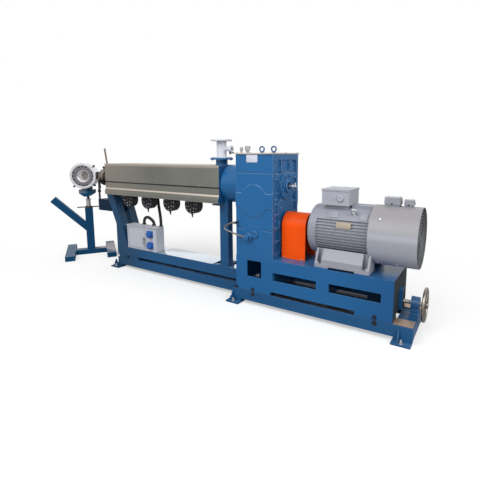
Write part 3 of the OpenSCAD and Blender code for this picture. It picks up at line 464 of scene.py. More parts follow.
# %% Dark finishes
def dark_metal(name, base, stain, roughness=0.45, metallic=0.6):
    """A plain surface with blotches of a second tone."""
    steel = Finish(name, base, metallic, roughness)
    blotch = steel.noise(14.0, 6.0, 0.65)
    steel.layer(blotch.above(0.52, 0.18), stain)
    steel.vary("Roughness", roughness + 0.25 * blotch)
    steel.bump(steel.noise(160.0, 4.0), 0.0005, 0.3, 0.002)
    return steel


hot_steel = dark_metal("hot_steel", (0.035, 0.036, 0.045), (0.09, 0.08, 0.075))
black_oxide = dark_metal("black_oxide", (0.014, 0.014, 0.016), (0.03, 0.03, 0.03), 0.36, 0.5)
blower_black = dark_metal("blower_black", (0.004, 0.005, 0.006), (0.009, 0.010, 0.012), 0.34, 0.0)
cock_grey = dark_metal("cock_grey", (0.10, 0.11, 0.115), (0.17, 0.175, 0.18), 0.4, 0.5)
conduit_black = dark_metal("conduit_black", (0.010, 0.010, 0.011), (0.02, 0.02, 0.021), 0.5, 0.0)
socket_blue = dark_metal("socket_blue", (0.003, 0.078, 0.34), (0.006, 0.10, 0.42), 0.28, 0.0)
key_metal = dark_metal("key_metal", (0.30, 0.29, 0.27), (0.42, 0.40, 0.38), 0.3, 0.8)
guard_wire = dark_metal("guard_wire", (0.02, 0.02, 0.022), (0.05, 0.05, 0.052), 0.35, 0.5)
print("dark finishes ready")

# %% [markdown]
# ## Finishes that change along one solid
# Some solids join pieces with different surfaces: a black rod beside a bright screw, a ring bolt that is
# painted on the gearbox and plated on the motor. A position mask splits them, so the solid stays whole.

# %% Two surfaces on one solid
def two_tone(name, axis, limit, low, high, low_metal, high_metal):
    """low is the colour before the limit on the axis, and high after it."""
    both = Finish(name, low, 0.5, 0.3)
    side, grime = both.at(axis).above(limit, 0.0005), both.noise(30.0, 5.0).above(0.5, 0.25)
    both.layer(side, high)
    both.layer(grime * 0.5, both.blend(side, shade(low, 0.6), shade(high, 0.6)))
    both.vary("Metallic", low_metal + (high_metal - low_metal) * side)
    both.vary("Roughness", 0.3 + 0.2 * grime)
    both.bump(both.noise(300.0), 0.0003, 0.2, 0.002)
    return both


eye_finish = two_tone("eye_finish", "X", 0.0, (0.006, 0.085, 0.24), (0.60, 0.64, 0.62), 0.0, 0.9)
# The clamp and the barrel are near black below a height just under the screw's axis, and brown above it.
clamp_finish = two_tone("clamp_finish", "Z", 1.065, (0.014, 0.014, 0.016), (0.19, 0.16, 0.13), 0.4, 0.8)
barrel_finish = two_tone("barrel_finish", "Z", 1.075, (0.035, 0.035, 0.038), (0.22, 0.19, 0.16), 0.6, 0.8)
jack_finish = two_tone("jack_finish", "X", -3.045, (0.012, 0.012, 0.014), (0.26, 0.26, 0.28), 0.3, 0.85)
print("split finishes ready")

# %% [markdown]
# ## Screw threads in the shading
# The jack screw and the lead screw are plain rods in the solids. A sine along the rod, wrapped into the
# bump, draws the thread without a single extra face, and the same sine paints shade into the grooves.

# %% Threaded steel
def threaded(name, axis, pitch, tone):
    """Bright steel with a groove at every pitch along the axis."""
    screw = Finish(name, shade(tone, 0.7), 0.95, 0.2)
    turn = (screw.at(axis) * (2 * math.pi / pitch)).wave()
    # Painted shade: the grooves keep the darker tone and the crests get the bright one.
    screw.layer(turn.above(0.0, 0.9), tone)
    screw.vary("Roughness", 0.25 + 0.15 * screw.noise(60.0))
    screw.bump(turn, 0.0012, 0.5)
    return screw


jack_thread = threaded("jack_thread", "Z", 0.006, (0.36, 0.33, 0.33))
lead_thread = threaded("lead_thread", "X", 0.008, (0.55, 0.53, 0.50))
print("threads:", jack_thread.material.name, lead_thread.material.name)

# %% [markdown]
# ## The die's turned face
# The ring's rim is bright, and the recessed face inside it is darker. In the bore, a painted highlight makes
# the wall white, and painted shade makes the disc at its end dull and dark. All are bands of distance from
# the die's own axis, wall and disc also a range along it. Fine rings from the lathe tool follow the same
# distance, so they stay round whichever way the die points.

# %% Die finish
die_steel = Finish("die_steel", (0.74, 0.74, 0.77), 0.75, 0.3)
radius, along = die_steel.around(HEAD, HEAD_AXIS)
recess = radius.between(0.084, 0.1418, 0.001, 0.0006) * along.above(RING_FRONT - 0.02, 0.001)
# Painted shade on the disc at the bore's end, and a painted highlight on the bore's wall.
disc_end = radius.below(BORE_R, 0.0008) * along.between(-0.033, -0.027, 0.001)
bore_wall = radius.between(0.0708, BORE_R, 0.0004, 0.0008) * along.above(-0.0265, 0.001)
die_steel.layer(die_steel.noise(3.0, 4.0).above(0.5, 0.3), (0.84, 0.84, 0.87))
die_steel.layer(recess, (0.19, 0.18, 0.19))
die_steel.layer(disc_end, (0.38, 0.36, 0.34))
die_steel.layer(bore_wall, (0.92, 0.92, 0.92))
die_steel.vary("Metallic", 0.75 - 0.6 * disc_end - 0.65 * bore_wall)
die_steel.vary("Roughness", 0.2 + 0.2 * die_steel.noise(30.0) + recess * 0.15 + disc_end * 0.25)
die_steel.bump((radius * 5200.0).wave() * radius.above(BORE_R, 0.0008), 0.0002, 0.25, 0.0025)
print("die finish:", die_steel.material.name)

# %% [markdown]
# ## Which solid wears which finish
# A real machine is sprayed in groups, before its bright parts are fitted. The table below says it the same
# way, finish by finish, which is shorter and easier to check than a line for each solid.

# %% Give every solid its finish
finishes = {
    machine_blue: "drive_frame feed_housing feed_throat",
    case_blue: "gearbox_case bearing_cap oil_pump",
    bed_blue: "bed_frame foot_pads carriage_rails rear_columns front_legs",
    bracket_blue: "front_bracket",
    stand_blue: "head_saddle die_stand",
    eye_finish: "lifting_eyes",
    way_metal: "slide_ways",
    lid_sheet: "gearbox_lid",
    cap_metal: "breather_caps",
    turned: "rotary_fitting",
    pipe_metal: "oil_pipe",
    jack_finish: "barrel_jack",
    die_steel: "die_ring die_body",
    lead_thread: "lead_screw",
    jack_thread: "saddle_jack",
    orange: "coupling_guard",
    motor_grey: "motor_shield motor_feet cowl_boxes",
    shell_grey: "motor_body",
    lid_grey: "terminal_box",
    cowl_grey: "fan_cowl",
    white: "feed_tube",
    barrel_finish: "barrel",
    hot_steel: "adapter_neck jack_nut",
    cover_sheet: "cover_upper cover_lower",
    blower_black: "cooling_blowers",
    box_grey: "electric_box box_door",
    socket_blue: "box_sockets",
    conduit_black: "conduits",
    clamp_finish: "barrel_clamp",
    chrome: "handwheel",
}
for finish, names in finishes.items():
    for name in names.split():
        slots = solids[name].data.materials
        slots.clear()
        slots.append(finish.material)
print("nodes without a finish:", sorted(set(solids) - set(" ".join(finishes.values()).split())))

# %% [markdown]
# ## Small parts from mesh code
# Bolt heads, washers and glands are turned shapes, and plates are slabs. They could be modelled by hand, but
# a profile that is spun about an axis keeps every size in sight, and the same few helpers make them all.
# Each group of small parts is one object that rides on its body.

# %% Mesh helpers
def placed(name, data):
    """A new object in the scene."""
    made = bpy.data.objects.new(name, data)
    bpy.context.scene.collection.objects.link(made)
    return made


def mesh_object(name, bm, finish, body="carriage", smooth=0.5):
    """The mesh as a piece of a body. Edges that turn by more than smooth, in radians, stay sharp."""
    data = bpy.data.meshes.new(name)
    bmesh.ops.recalc_face_normals(bm, faces=bm.faces)
    bm.to_mesh(data)
    bm.free()
    made = placed(name, data)
    data.materials.append(finish.material)
    data.shade_smooth()
    data.set_sharp_from_angle(angle=smooth)
    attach(made, body)
    return made


def metres(*size):
    """A point or a size from millimetres."""
    return Vector(size) / 1000


def facing(direction, at):
    """A transform that takes +Z to the direction, at a point."""
    turn = Vector(direction).to_track_quat("Z", "Y").to_matrix().to_4x4()
    return Matrix.Translation(at) @ turn


def circle(count, radius, start=0.0, closed=False):
    """Pairs of numbers that go evenly round a circle, from a start in degrees."""
    angles = [math.radians(start + 360 * k / count) for k in range(count + closed)]
    return [(radius * math.cos(a), radius * math.sin(a)) for a in angles]


def add_lathe(bm, profile, where, sides=24):
    """Spins (radius, height) points about local Z. A radius of 0 is a single point."""
    rings = [[bm.verts.new(where @ Vector((x, y, height)))
              for x, y in (circle(sides, radius) if radius else [(0, 0)])] for radius, height in profile]
    for low, high in zip(rings, rings[1:]):
        for k in range(sides):
            corners = list(dict.fromkeys((low[k % len(low)], low[(k + 1) % len(low)],
                                          high[(k + 1) % len(high)], high[k % len(high)])))
            if len(corners) > 2:
                bm.faces.new(corners)


def add_slab(bm, size, where, bevel):
    """A box with rounded edges, centred on the transform."""
    box = bmesh.ops.create_cube(bm, size=1.0, matrix=where @ Matrix.Diagonal((*size, 1.0)))["verts"]
    edges = list(dict.fromkeys(edge for corner in box for edge in corner.link_edges))
    bmesh.ops.bevel(bm, geom=edges, offset=bevel, segments=2, affect="EDGES", profile=0.6)


def tube_along(bm, points, radius, sides):
    """A tube along points. The radius is one number, or a list with one for each point."""
    rings = []
    for i, at in enumerate(points):
        heading = (points[min(i + 1, len(points) - 1)] - points[max(i - 1, 0)]).normalized()
        side = side - heading * side.dot(heading) if rings else heading.orthogonal()
        side.normalize()
        other = heading.cross(side)
        r = radius[i] if isinstance(radius, list) else radius
        rings.append([bm.verts.new(at + side * x + other * y) for x, y in circle(sides, r)])
    for low, high in zip(rings, rings[1:]):
        for k in range(sides):
            bm.faces.new((low[k], low[(k + 1) % sides], high[(k + 1) % sides], high[k]))
    bm.faces.new(rings[0])
    bm.faces.new(rings[-1])


print("mesh tools ready")

# %% [markdown]
# A bolt head is a hexagon with a chamfered crown on a washer, and a cap screw a cylinder with a sunk
# hexagon. Each is one function, and a second one repeats it at a list of places, so a row of bolts is one
# line that reads like a drawing's note.

# %% Bolts, screws and small turned parts
def disc(radius, low, high):
    """The profile of a plain disc, or of a plain hexagon when it is spun with six sides."""
    return [(0, low), (radius, low), (radius, high), (0, high)]


def hex_bolt(bm, at, direction, across, head=0.010, washer=True):
    """Hexagon head with a chamfered crown, on a washer."""
    where = facing(direction, at)
    r = across / 2 / math.cos(math.pi / 6)
    base = 0.002 if washer else 0.0
    if washer:
        add_lathe(bm, disc(r * 1.35, 0, base), where, 20)
    crown = base + head
    add_lathe(bm, [(0, base), (r, base), (r, base + head * 0.8), (r * 0.86, crown), (0, crown)], where, 6)


def socket_screw(bm, at, direction, r, head=0.010):
    """Cylinder head with a sunk hexagon."""
    where = facing(direction, at)
    add_lathe(bm, [(0, 0), (r, 0), (r, head * 0.88), (r * 0.86, head), (r * 0.62, head)], where, 20)
    add_lathe(bm, [(r * 0.62, head), (r * 0.50, head), (r * 0.50, head * 0.45), (0, head * 0.45)], where, 6)


def domed_screw(bm, at, direction, r):
    """Low domed head of a sheet screw."""
    profile = [(0, 0), (r, 0), (r, r * 0.25), (r * 0.75, r * 0.55), (r * 0.3, r * 0.7), (0, r * 0.7)]
    add_lathe(bm, profile, facing(direction, at), 16)


def fasteners(name, *groups, make=hex_bolt, finish=bolt_steel, body="carriage", **size):
    """Each group is (places in mm, direction), and "both" at its end repeats it on the far side."""
    bm, count = bmesh.new(), 0
    for places, direction, *both in groups:
        for flip in [Vector((1, 1, 1)), Vector((1, -1, 1))][:1 + len(both)]:
            for place in places:
                make(bm, metres(*place) * flip, Vector(direction) * flip, **size)
                count += 1
    mesh_object(name, bm, finish, body)
    print(name, count)


def small_part(name, finish, lathes=(), slabs=(), body="carriage"):
    """lathes are (profile, place in mm, direction, sides), and slabs (size in mm, place in mm, bevel)."""
    bm = bmesh.new()
    for profile, at, direction, sides in lathes:
        add_lathe(bm, profile, facing(direction, metres(*at)), sides)
    for size, at, bevel in slabs:
        add_slab(bm, metres(*size), Matrix.Translation(metres(*at)), bevel)
    mesh_object(name, bm, finish, body)
    print(name, "ready")


print("fastener tools ready")

# %% [markdown]
# ## Anchors and bed bolts
# Each pad has a stud in the floor with a nut and a thick washer, as every floor-mounted machine has. The
# bed and the clamp shoes of the carriage are held by dark hexagon bolts on their outer faces. The far shoe
# also has a bright screw that looks out of its end.

# %% Studs, nuts and bed bolts
def anchor(bm, at, direction):
    """Stud, washer and nut. The stud reaches into the floor hole."""
    where = facing(direction, at)
    add_lathe(bm, [(0, -0.014), (0.008, -0.014), (0.008, 0.028), (0.0068, 0.030), (0, 0.030)], where, 16)
    add_lathe(bm, [(0.008, 0), (0.018, 0), (0.018, 0.003), (0.008, 0.003)], where, 24)
    nut = [(0.008, 0.003), (0.0138, 0.003), (0.0138, 0.0165), (0.012, 0.018), (0.008, 0.018)]
    add_lathe(bm, nut, where, 6)


fasteners("anchor_studs", ([(-755, -280, 15), (755, -280, 15), (-2644, -158, 15)], UP, "both"), make=anchor,
          body="bed")
fasteners("bed_bolts", ([(-556, -250, 110), (553, -250, 110)], FRONT, "both"), finish=black_oxide, body="bed",
          across=0.024)
fasteners("shoe_bolts", ([(-556, -250, 156), (552, -250, 156), (-2459, -123, 148)], FRONT, "both"),
          finish=black_oxide, across=0.022)
SHOE_SCREW = [(0, 0), (0.0085, 0), (0.0085, 0.052), (0.0105, 0.054), (0.0105, 0.068), (0.009, 0.071),
              (0, 0.071)]
small_part("shoe_screw", bolt_steel, [(SHOE_SCREW, (-2620, -100, 147), LEFT, 20)])

# %% [markdown]
# ## Gear case fittings
# The case is closed by bolts round its bulge and along its end face. The thrust cap has a full ring of
# eight, the lid is held by small screws near its rim, and a blank pale plate sits near the top.

# %% Bolts, plate and screws on the gear case
CASE_FACE_X, CAP_FACE_X, LID_TOP = -350, -336, 1400
face_spots = [(CASE_FACE_X, y, z) for y, z in (
    (-116, 1139), (-187, 1166), (-93, 908), (-204, 804), (-196, 990), (-82, 976), (160, 1170), (-199, 1330),
    (-198, 1218), (204, 804), (196, 990), (199, 1330))]
fasteners("case_face_bolts", (face_spots, RIGHT), finish=case_blue, across=0.015, head=0.009)
fasteners("cap_screws", ([(CAP_FACE_X, y, SCREW_Z + z) for y, z in circle(8, 100, 22.5)], RIGHT),
          make=socket_screw, finish=case_blue, r=0.0085)
fasteners("lid_screws", ([(x, -236, LID_TOP) for x in (-725, -600, -480, -363)], UP, "both"),
          ([(-352, 0, LID_TOP), (-736, 0, LID_TOP)], UP), make=socket_screw, r=0.006, head=0.006)


def blank_plate(name, centre, wide, high, thick, margin):
    """A thin plate with rounded corners and a small rivet near each corner."""
    bm = bmesh.new()
    where = facing(FRONT, metres(*centre))
    add_slab(bm, (wide, high, thick), where @ Matrix.Translation((0, 0, thick / 2)), 0.0007)
    for x in (margin - wide / 2, wide / 2 - margin):
        for y in (margin - high / 2, high / 2 - margin):
            domed_screw(bm, where @ Vector((x, y, thick)), FRONT, 0.0025)
    mesh_object(name, bm, plate_white)


blank_plate("case_plate", (-563, -244, 1351), 0.116, 0.069, 0.0015, 0.006)
print("gear case dressed")

# %% [markdown]
# ## Pump and feed fittings
# The round pump cover has six screws, and the smaller one beside it four. The feed throat's flange is
# bolted from both sides, thin dark bushes show where the upper flange has its empty holes, and a small
# drain cock hangs under the tube's side stub.

# %% Pump screws, flange bolts and drain cock
THROAT_X = -1086
fasteners("pump_screws", ([(-593 + x, -268, 648 + z) for x, z in circle(6, 29, 30)]
                          + [(-533 + x, -256, 674 + z) for x, z in circle(4, 27, 45)], FRONT),
          make=socket_screw, finish=case_blue, r=0.0055, head=0.007)
flange = [(THROAT_X + x, y) for x, y in circle(8, 102, 22.5)]
fasteners("throat_bolts", ([(*spot, 1351) for spot in flange], UP),
          ([(*spot, 1335) for spot in flange], DOWN), across=0.013, head=0.006)
BUSH = [(0.0095, 0), (0.0095, 0.0006), (0.0075, 0.0006), (0.0075, 0.0002), (0, 0.0002)]
small_part("flange_holes", black_oxide,
           [(BUSH, (THROAT_X + x, y, 1520), DOWN, 20) for x, y in circle(8, 88, 22.5)])
bm = bmesh.new()
where = facing(DOWN, metres(-981, 0, 1412))
add_lathe(bm, disc(0.012, -0.004, 0.006), where, 6)
add_lathe(bm, [(0, 0.006), (0.008, 0.006), (0.012, 0.011), (0.012, 0.017), (0.008, 0.022), (0, 0.024)], where)
tube_along(bm, [metres(x, 0, z) for x, z in ((-981, 1398), (-968, 1399), (-952, 1403), (-936, 1404))],
           [0.006, 0.006, 0.007, 0.008], 12)
mesh_object("drain_cock", bm, cock_grey, smooth=0.6)
print("feed fittings ready")

# %% [markdown]
# ## Motor fittings
# The end shield is held by a ring of bolts, the feet by one large bolt at each corner, and the shell shows
# raised lifting pads and a blank tan plate. A flat slab would stand off the round shell, so the plate and
# the pads are bent round the motor's axis.

# %% Shield ring, feet, pads and plate
fasteners("shield_bolts", ([(-36, y, MOTOR_Z + z) for y, z in circle(8, 186, 22.5)], LEFT), across=0.013,
          head=0.008)
fasteners("foot_bolts", ([(x, -228, 502) for x in (72, 144, 402, 474)], UP, "both"), across=0.022, head=0.013)


def curved_plate(name, x0, x1, low, high, radius, thick, finish, edge=0.004):
    """A plate bent round the motor's axis, between two angles in degrees above the operator's horizontal."""
    bm, steps, grid = bmesh.new(), 14, []
    for lift, inset in ((0.0, 0.0), (thick * 0.7, 0.0), (thick, edge)):
        first, last = math.radians(low) + inset / radius, math.radians(high) - inset / radius
        row = []
        for k in range(steps + 1):
            a = first + (last - first) * k / steps
            y, z = -(radius + lift) * math.cos(a), MOTOR_AXIS[2] + (radius + lift) * math.sin(a)
            row.append([bm.verts.new((x0 + inset, y, z)), bm.verts.new((x1 - inset, y, z))])
        grid.append(row)
    for under, over in zip(grid, grid[1:]):
        for end in (0, 1):
            for k in range(steps):
                bm.faces.new((under[k][end], under[k + 1][end], over[k + 1][end], over[k][end]))
        for k in (0, steps):
            bm.faces.new((under[k][0], under[k][1], over[k][1], over[k][0]))
    for near, far in zip(grid[-1], grid[-1][1:]):
        bm.faces.new((near[0], near[1], far[1], far[0]))
    mesh_object(name, bm, finish)


curved_plate("motor_plate", 0.206, 0.329, 14, 28, 0.2135, 0.0015, plate_metal, 0.0006)
curved_plate("shoulder_pad_left", 0.119, 0.212, 37, 55, 0.2125, 0.006, motor_grey)
curved_plate("shoulder_pad_right", 0.380, 0.447, 36, 52, 0.2125, 0.005, motor_grey)
fasteners("pad_screws", ([(165, -150, 905), (412, -152, 903)], (0, -0.70, 0.71)), make=socket_screw, r=0.006,
          head=0.004)
print("motor dressed")

# %% [markdown]
# ## Boxes on the motor
# The terminal box has a screwed lid and two round blanks on its front, one flat and one with a hexagon.
# The two small boxes on the cowl have folded lids and dark glands, and domed screws hold the cowl.

# %% Lid screws, blank and glands
fasteners("terminal_lid_screws", ([(58, -120, 1106), (282, -120, 1106), (170, -126, 1106)], UP, "both"),
          make=socket_screw, r=0.005, head=0.002)


def gland(name, at, r, reach, finish):
    """A hexagon and a dome nut with a blank plug."""
    foot = reach * 0.25
    dome = [(0, foot), (r, foot), (r, reach * 0.7), (r * 0.8, reach), (r * 0.55, reach),
            (r * 0.5, reach * 0.9), (0, reach * 0.9)]
    small_part(name, finish, [(disc(r * 1.25, 0, foot), at, FRONT, 6), (dome, at, FRONT, 24)])


gland("terminal_gland", (214, -128, 1033), 0.026, 0.014, lid_grey)
BLANK = [(0.026, 0), (0.026, 0.0015), (0.023, 0.002), (0.021, 0.0008), (0, 0.0008)]
small_part("terminal_blank", lid_grey, [(BLANK, (131, -128, 1035), FRONT, 32)])
fasteners("cowl_screws", ([(546, -182, 904)], (0, -0.77, 0.64), "both"),
          ([(529, -142, 562)], (0, -0.60, -0.80), "both"), ([(673, -136, 558)], (0, -0.575, -0.818), "both"),
          make=domed_screw, finish=turned, r=0.009)
small_part("cowl_box_lids", lid_grey, slabs=[((113, 98, 7), (595, 0, 1053), 0.0015),
                                             ((66, 62, 5), (714, 0, 1040), 0.0015)])
fasteners("cowl_box_screws", ([(547, -40, 1057), (643, -40, 1057), (689, -24, 1043), (739, -24, 1043)],
                              UP, "both"), make=domed_screw, r=0.004)
gland("cowl_box_gland", (598, -45, 1009), 0.007, 0.008, black_oxide)
gland("cowl_box_gland_small", (716, -28, 1004), 0.006, 0.007, black_oxide)

# %% [markdown]
# ## Guard and cover screws
# The guard is screwed to the frame at its foot. The covers are closed by a row of small screws along the
# lower edge of the hood on both sides, and by six more in the end that looks to the die.

# %% Guard screws and cover screws
fasteners("guard_screws", ([(-304, -118, 468), (-126, -118, 468)], FRONT, "both"), make=domed_screw, r=0.007)
fasteners("cover_screws", ([(x, -200, 1076) for x in range(-2650, -1000, 205)], FRONT, "both"),
          make=domed_screw, r=0.004)
fasteners("cover_end_screws", ([(-2705, y, z) for y in (-185, 185) for z in (1090, 1180, 1262)], LEFT),
          make=domed_screw, r=0.004)

# %% [markdown]
# ## Blower guards
# Each blower hangs under the tray with its round face to the operator. The face is a wire guard: rings
# and four spokes over a dark hub, with bright studs between them. Real tubes are used, because a picture
# of wires on a disc would look flat from the side.

# %% Wire guards on the blowers
COVER_X0, BLOWER_Y, BLOWER_Z = -2.705, -0.150, 0.865
STUD_TOP = 0.910  # studs above this would stand in the tray


def blower_guard(name, x):
    """Rings, spokes and hub in one piece, and the studs below the tray's edge in another."""
    face = Vector((x, BLOWER_Y, BLOWER_Z))
    bm = bmesh.new()
    for radius in (0.080, 0.066, 0.052, 0.038, 0.024):
        tube_along(bm, [face + Vector((a, -0.003, b)) for a, b in circle(40, radius, closed=True)], 0.0014, 6)
    for a, b in circle(4, 1.0, 45):
        tube_along(bm, [face + Vector((a * r, -0.0045, b * r)) for r in (0.012, 0.082)], 0.0016, 6)
    add_lathe(bm, [(0, 0), (0.016, 0), (0.016, 0.004), (0.012, 0.006), (0, 0.006)], facing(FRONT, face), 24)
    mesh_object(name, bm, guard_wire, smooth=0.6)
    bm = bmesh.new()
    for a, b in circle(10, 0.073, 9) + circle(6, 0.045, 20):
        if BLOWER_Z + b < STUD_TOP:
            add_lathe(bm, [(0, 0), (0.0052, 0), (0.0052, 0.003), (0.003, 0.0055), (0, 0.006)],
                      facing(FRONT, face + Vector((a, 0, b))), 12)
    mesh_object(name + "_studs", bm, turned, smooth=0.6)


for k, out in enumerate((0.328, 0.655, 1.007, 1.327)):
    blower_guard("blower_guard_%d" % (k + 1), COVER_X0 + out)
print("blower guards:", k + 1)

# %% [markdown]
# ## Bright sheets on the carriage
# Between the electric box and the column the photograph shows a bright, nearly white surface over the
# carriage. It mirrors its pale surroundings, as smooth sheet does at such a flat angle. Thin slabs are laid
# on the beams for it, with a gap from each to the next, and a low roughness does the rest.

# %% Deck sheets behind the electric box, up to the column, past it and on to the gear case
DECK_THICK = 1.5
deck_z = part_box("carriage_rails")[1][2] * 1000 + DECK_THICK / 2
small_part("deck_sheets", deck_steel, slabs=[
    ((x1 - x0, y1 - y0, DECK_THICK), ((x0 + x1) / 2, (y0 + y1) / 2, deck_z), 0.0003)
    for x0, x1, y0, y1 in ((-2442, -1936, -8, 127), (-1934, -1132, -127, 127),
                           (-1130, -916, 86, 127), (-914, -742, -127, 127))])

# %% [markdown]
# ## Electric box details
# The door has a thin raised frame, a quarter-turn lock with its key, and a second key below it. The
# sockets have spring caps with a hinge, and screws at their corners. The keys are a bent wire and two
# slabs each, which is enough at their size.

# %% Lock, keys and door frame
LOCK = (-2136, -141, 416)
small_part("box_lock", black_oxide, body="box_door", lathes=[
    ([(0, 0), (0.0115, 0), (0.0115, 0.002), (0.009, 0.003), (0, 0.003)], LOCK, FRONT, 24)])


def key_blade(bm, at, tilt, bow_r=0.013, long=0.034):
    """Round bow with a hole, and a notched blade."""
    where = facing(FRONT, at) @ Matrix.Rotation(tilt, 4, "Z")
    tube_along(bm, [where @ Vector((x, y, 0)) for x, y in circle(20, bow_r, closed=True)], 0.0034, 8)
    for wide, high, x, y in ((0.007, long, 0, -bow_r - long / 2), (0.011, 0.005, 0.002, -bow_r - long * 0.8)):
        add_slab(bm, (wide, high, 0.002), where @ Matrix.Translation((x, y, 0)), 0.0004)


bm = bmesh.new()
key_blade(bm, metres(*LOCK) + Vector((0, -0.006, -0.002)), 0.0)
key_blade(bm, metres(*LOCK) + Vector((-0.004, -0.006, -0.045)), 0.12)
mesh_object("box_keys", bm, key_metal, "box_door")

RIB, RIB_Y = 3, -133.5
corners = [(-2410, 300), (-2122, 300), (-2122, 522), (-2410, 522)]
small_part("door_frame", motor_grey, body="box_door", slabs=[
    ((abs(x1 - x0) + RIB, RIB, abs(z1 - z0) + RIB), ((x0 + x1) / 2, RIB_Y, (z0 + z1) / 2), 0.0006)
    for (x0, z0), (x1, z1) in zip(corners, corners[1:] + corners[:1])])

# %% [markdown]
# The socket caps are turned like the other round parts, with a slab for the hinge above and another for
# the grip below.

# %% Socket caps and box lid
SOCKET_X, SOCKET_Z, BOX_LID_Z = -2035, (346, 478), 556
CAP = [(0, 0), (0.037, 0), (0.037, 0.006), (0.034, 0.010), (0.020, 0.0125), (0, 0.013)]
for name, z in zip(("socket_cap_low", "socket_cap_high"), SOCKET_Z):
    small_part(name, socket_blue, [(CAP, (SOCKET_X, -154, z), FRONT, 36)],
               [((30, 10, 12), (SOCKET_X, -160, z + 38), 0.002),
                ((22, 14, 7), (SOCKET_X, -166, z - 33), 0.002)])
fasteners("socket_screws", ([(SOCKET_X + x, -140, middle + z) for middle in SOCKET_Z
                             for x in (-31, 31) for z in (-31, 31)], FRONT), make=domed_screw, r=0.0035)
fasteners("box_lid_screws", ([(x, y, BOX_LID_Z) for y in (-130, -22) for x in (-2425, -1960)], UP),
          make=domed_screw, r=0.004)

# %% [markdown]
# ## Corrugated conduits
# Each conduit is a tube whose radius swings in and out every seven millimetres, along the same route as
# its solid. One drops from the tray into the box, the other loops out of the box and back into it.

# %% The two conduits
CONDUIT_Y, TRAY_Z = -18, 915
DROP = [(-2012, TRAY_Z), (-2012, 880), (-2006, 820), (-1992, 730), (-1980, 650), (-1978, 600),
        (-1978, BOX_LID_Z)]
LOOP = [(-2262, BOX_LID_Z), (-2262, 590), (-2250, 622), (-2222, 642), (-2186, 644), (-2150, 632),
        (-2118, 612), (-2096, 588), (-2096, BOX_LID_Z)]
STEP = 0.00175  # four rings to a corrugation, in metres


def smooth_path(points, step):
    """A soft curve through the points, with places a step apart."""
    knots = [points[0]] + points + [points[-1]]
    path = []
    for a, b, c, d in zip(knots, knots[1:], knots[2:], knots[3:]):
        count = max(2, round((c - b).length / step))
        for k in range(count):
            t = k / count
            path.append(0.5 * (2 * b + (c - a) * t + (2 * a - 5 * b + 4 * c - d) * t ** 2
                               + (3 * b - a - 3 * c + d) * t ** 3))
    return path + [points[-1]]


def conduit(name, route):
    """A corrugated tube along (x, z) places in mm."""
    path = smooth_path([metres(x, CONDUIT_Y, z) for x, z in route], STEP)
    radii = [0.0165 + 0.0015 * math.cos(k * math.pi / 2) for k in range(len(path))]
    bm = bmesh.new()
    tube_along(bm, path, radii, 20)
    piece = mesh_object(name, bm, conduit_black, "carriage", 0.9)
    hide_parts("conduits")


conduit("conduit_drop", DROP)
conduit("conduit_loop", LOOP)
UNION = [(0.0182, 0), (0.0235, 0), (0.0235, 0.014), (0.0182, 0.016)]
ends = [(DROP[-1], UP), (LOOP[0], UP), (LOOP[-1], UP), (DROP[0], DOWN)]
small_part("conduit_nuts", black_oxide, [(UNION, (x, CONDUIT_Y, z), way, 6) for (x, z), way in ends])

# %% [markdown]
# ## Die head screws
# Twelve socket screws hold the ring, in groups of three as on the photograph. Black radial bolts at three
# of the diagonals centre the die. Both sets are placed in the head's own directions, along its outlet and
# across it, because the head is turned and its places in X and Y would be hard to read.

# %% Socket screws and centring bolts
def head_point(out, across, up):
    """A point given in metres along the die's outlet, across it and above its axis."""
    return HEAD + HEAD_AXIS * out + HEAD_SIDE * across + Vector((0, 0, up))


die_spots = [spot for start in (68, 90, 112) for spot in circle(4, SCREW_RING_R, start)]
bm = bmesh.new()
for across, up in die_spots:
    socket_screw(bm, head_point(RING_FRONT - 0.016, across, up), HEAD_AXIS, 0.0078, 0.020)
mesh_object("die_screws", bm, black_oxide, "bed")

CENTRING = ((45, 0), (225, 0.016), (315, 0))  # angle in degrees, how far the bolt stands out
bm = bmesh.new()
for angle, stand_out in CENTRING:
    way = head_point(0, math.cos(math.radians(angle)), math.sin(math.radians(angle))) - HEAD
    at = head_point(RING_FRONT - 0.060, 0, 0) + way * 0.166
    add_lathe(bm, [(0.008, -0.02), (0.008, 0.018 + stand_out), (0, 0.018 + stand_out)], facing(way, at), 16)
    hex_bolt(bm, at + way * (0.014 + stand_out), way, across=0.024, head=0.018, washer=False)
mesh_object("centring_bolts", bm, black_oxide, "bed")
print("die screws:", len(die_spots), "centring bolts:", len(CENTRING))

# %% [markdown]
# ## Stand, saddle and clamp fittings
# The saddle is held by a bolt on each wing, and the clamp has dark closing bolts on its jaws and four small
# ones round its outer face, clear of the neck that slides past them. The wings rise outward, so the height
# of their bolts is worked out from that slope.

# %% Saddle bolts and clamp bolts
SADDLE_BOLT = 0.075  # from the head's axis
WING_Z, WING_START, WING_RISE, WING_LONG = 0.812, 0.022, 0.046, 0.066
bm = bmesh.new()
for across in (-SADDLE_BOLT, SADDLE_BOLT):
    for out in (-0.030, 0.050):
        at = head_point(out, across, 0)
        at.z = WING_Z + WING_RISE * (SADDLE_BOLT - WING_START) / WING_LONG
        hex_bolt(bm, at, DOWN, across=0.014, head=0.008, washer=False)
mesh_object("saddle_bolts", bm, bolt_steel, "saddle")

bm = bmesh.new()
for side in (-1, 1):
    hex_bolt(bm, metres(-2959, side * 34, 1226), (0, side, 0), across=0.019, head=0.012)
for z in (1040, 1160):
    for y in (-80, 80):
        hex_bolt(bm, metres(-2982, y, z), LEFT, across=0.012, head=0.008, washer=False)
mesh_object("clamp_bolts", bm, black_oxide)
print("saddle bolts: 4, clamp bolts: 6")

# %% [markdown]
# ## Screw end
# A small hexagon nut with a collar sits on the lead screw's end and holds the handwheel's hub. It turns
# with the wheel, so it rides on that body.

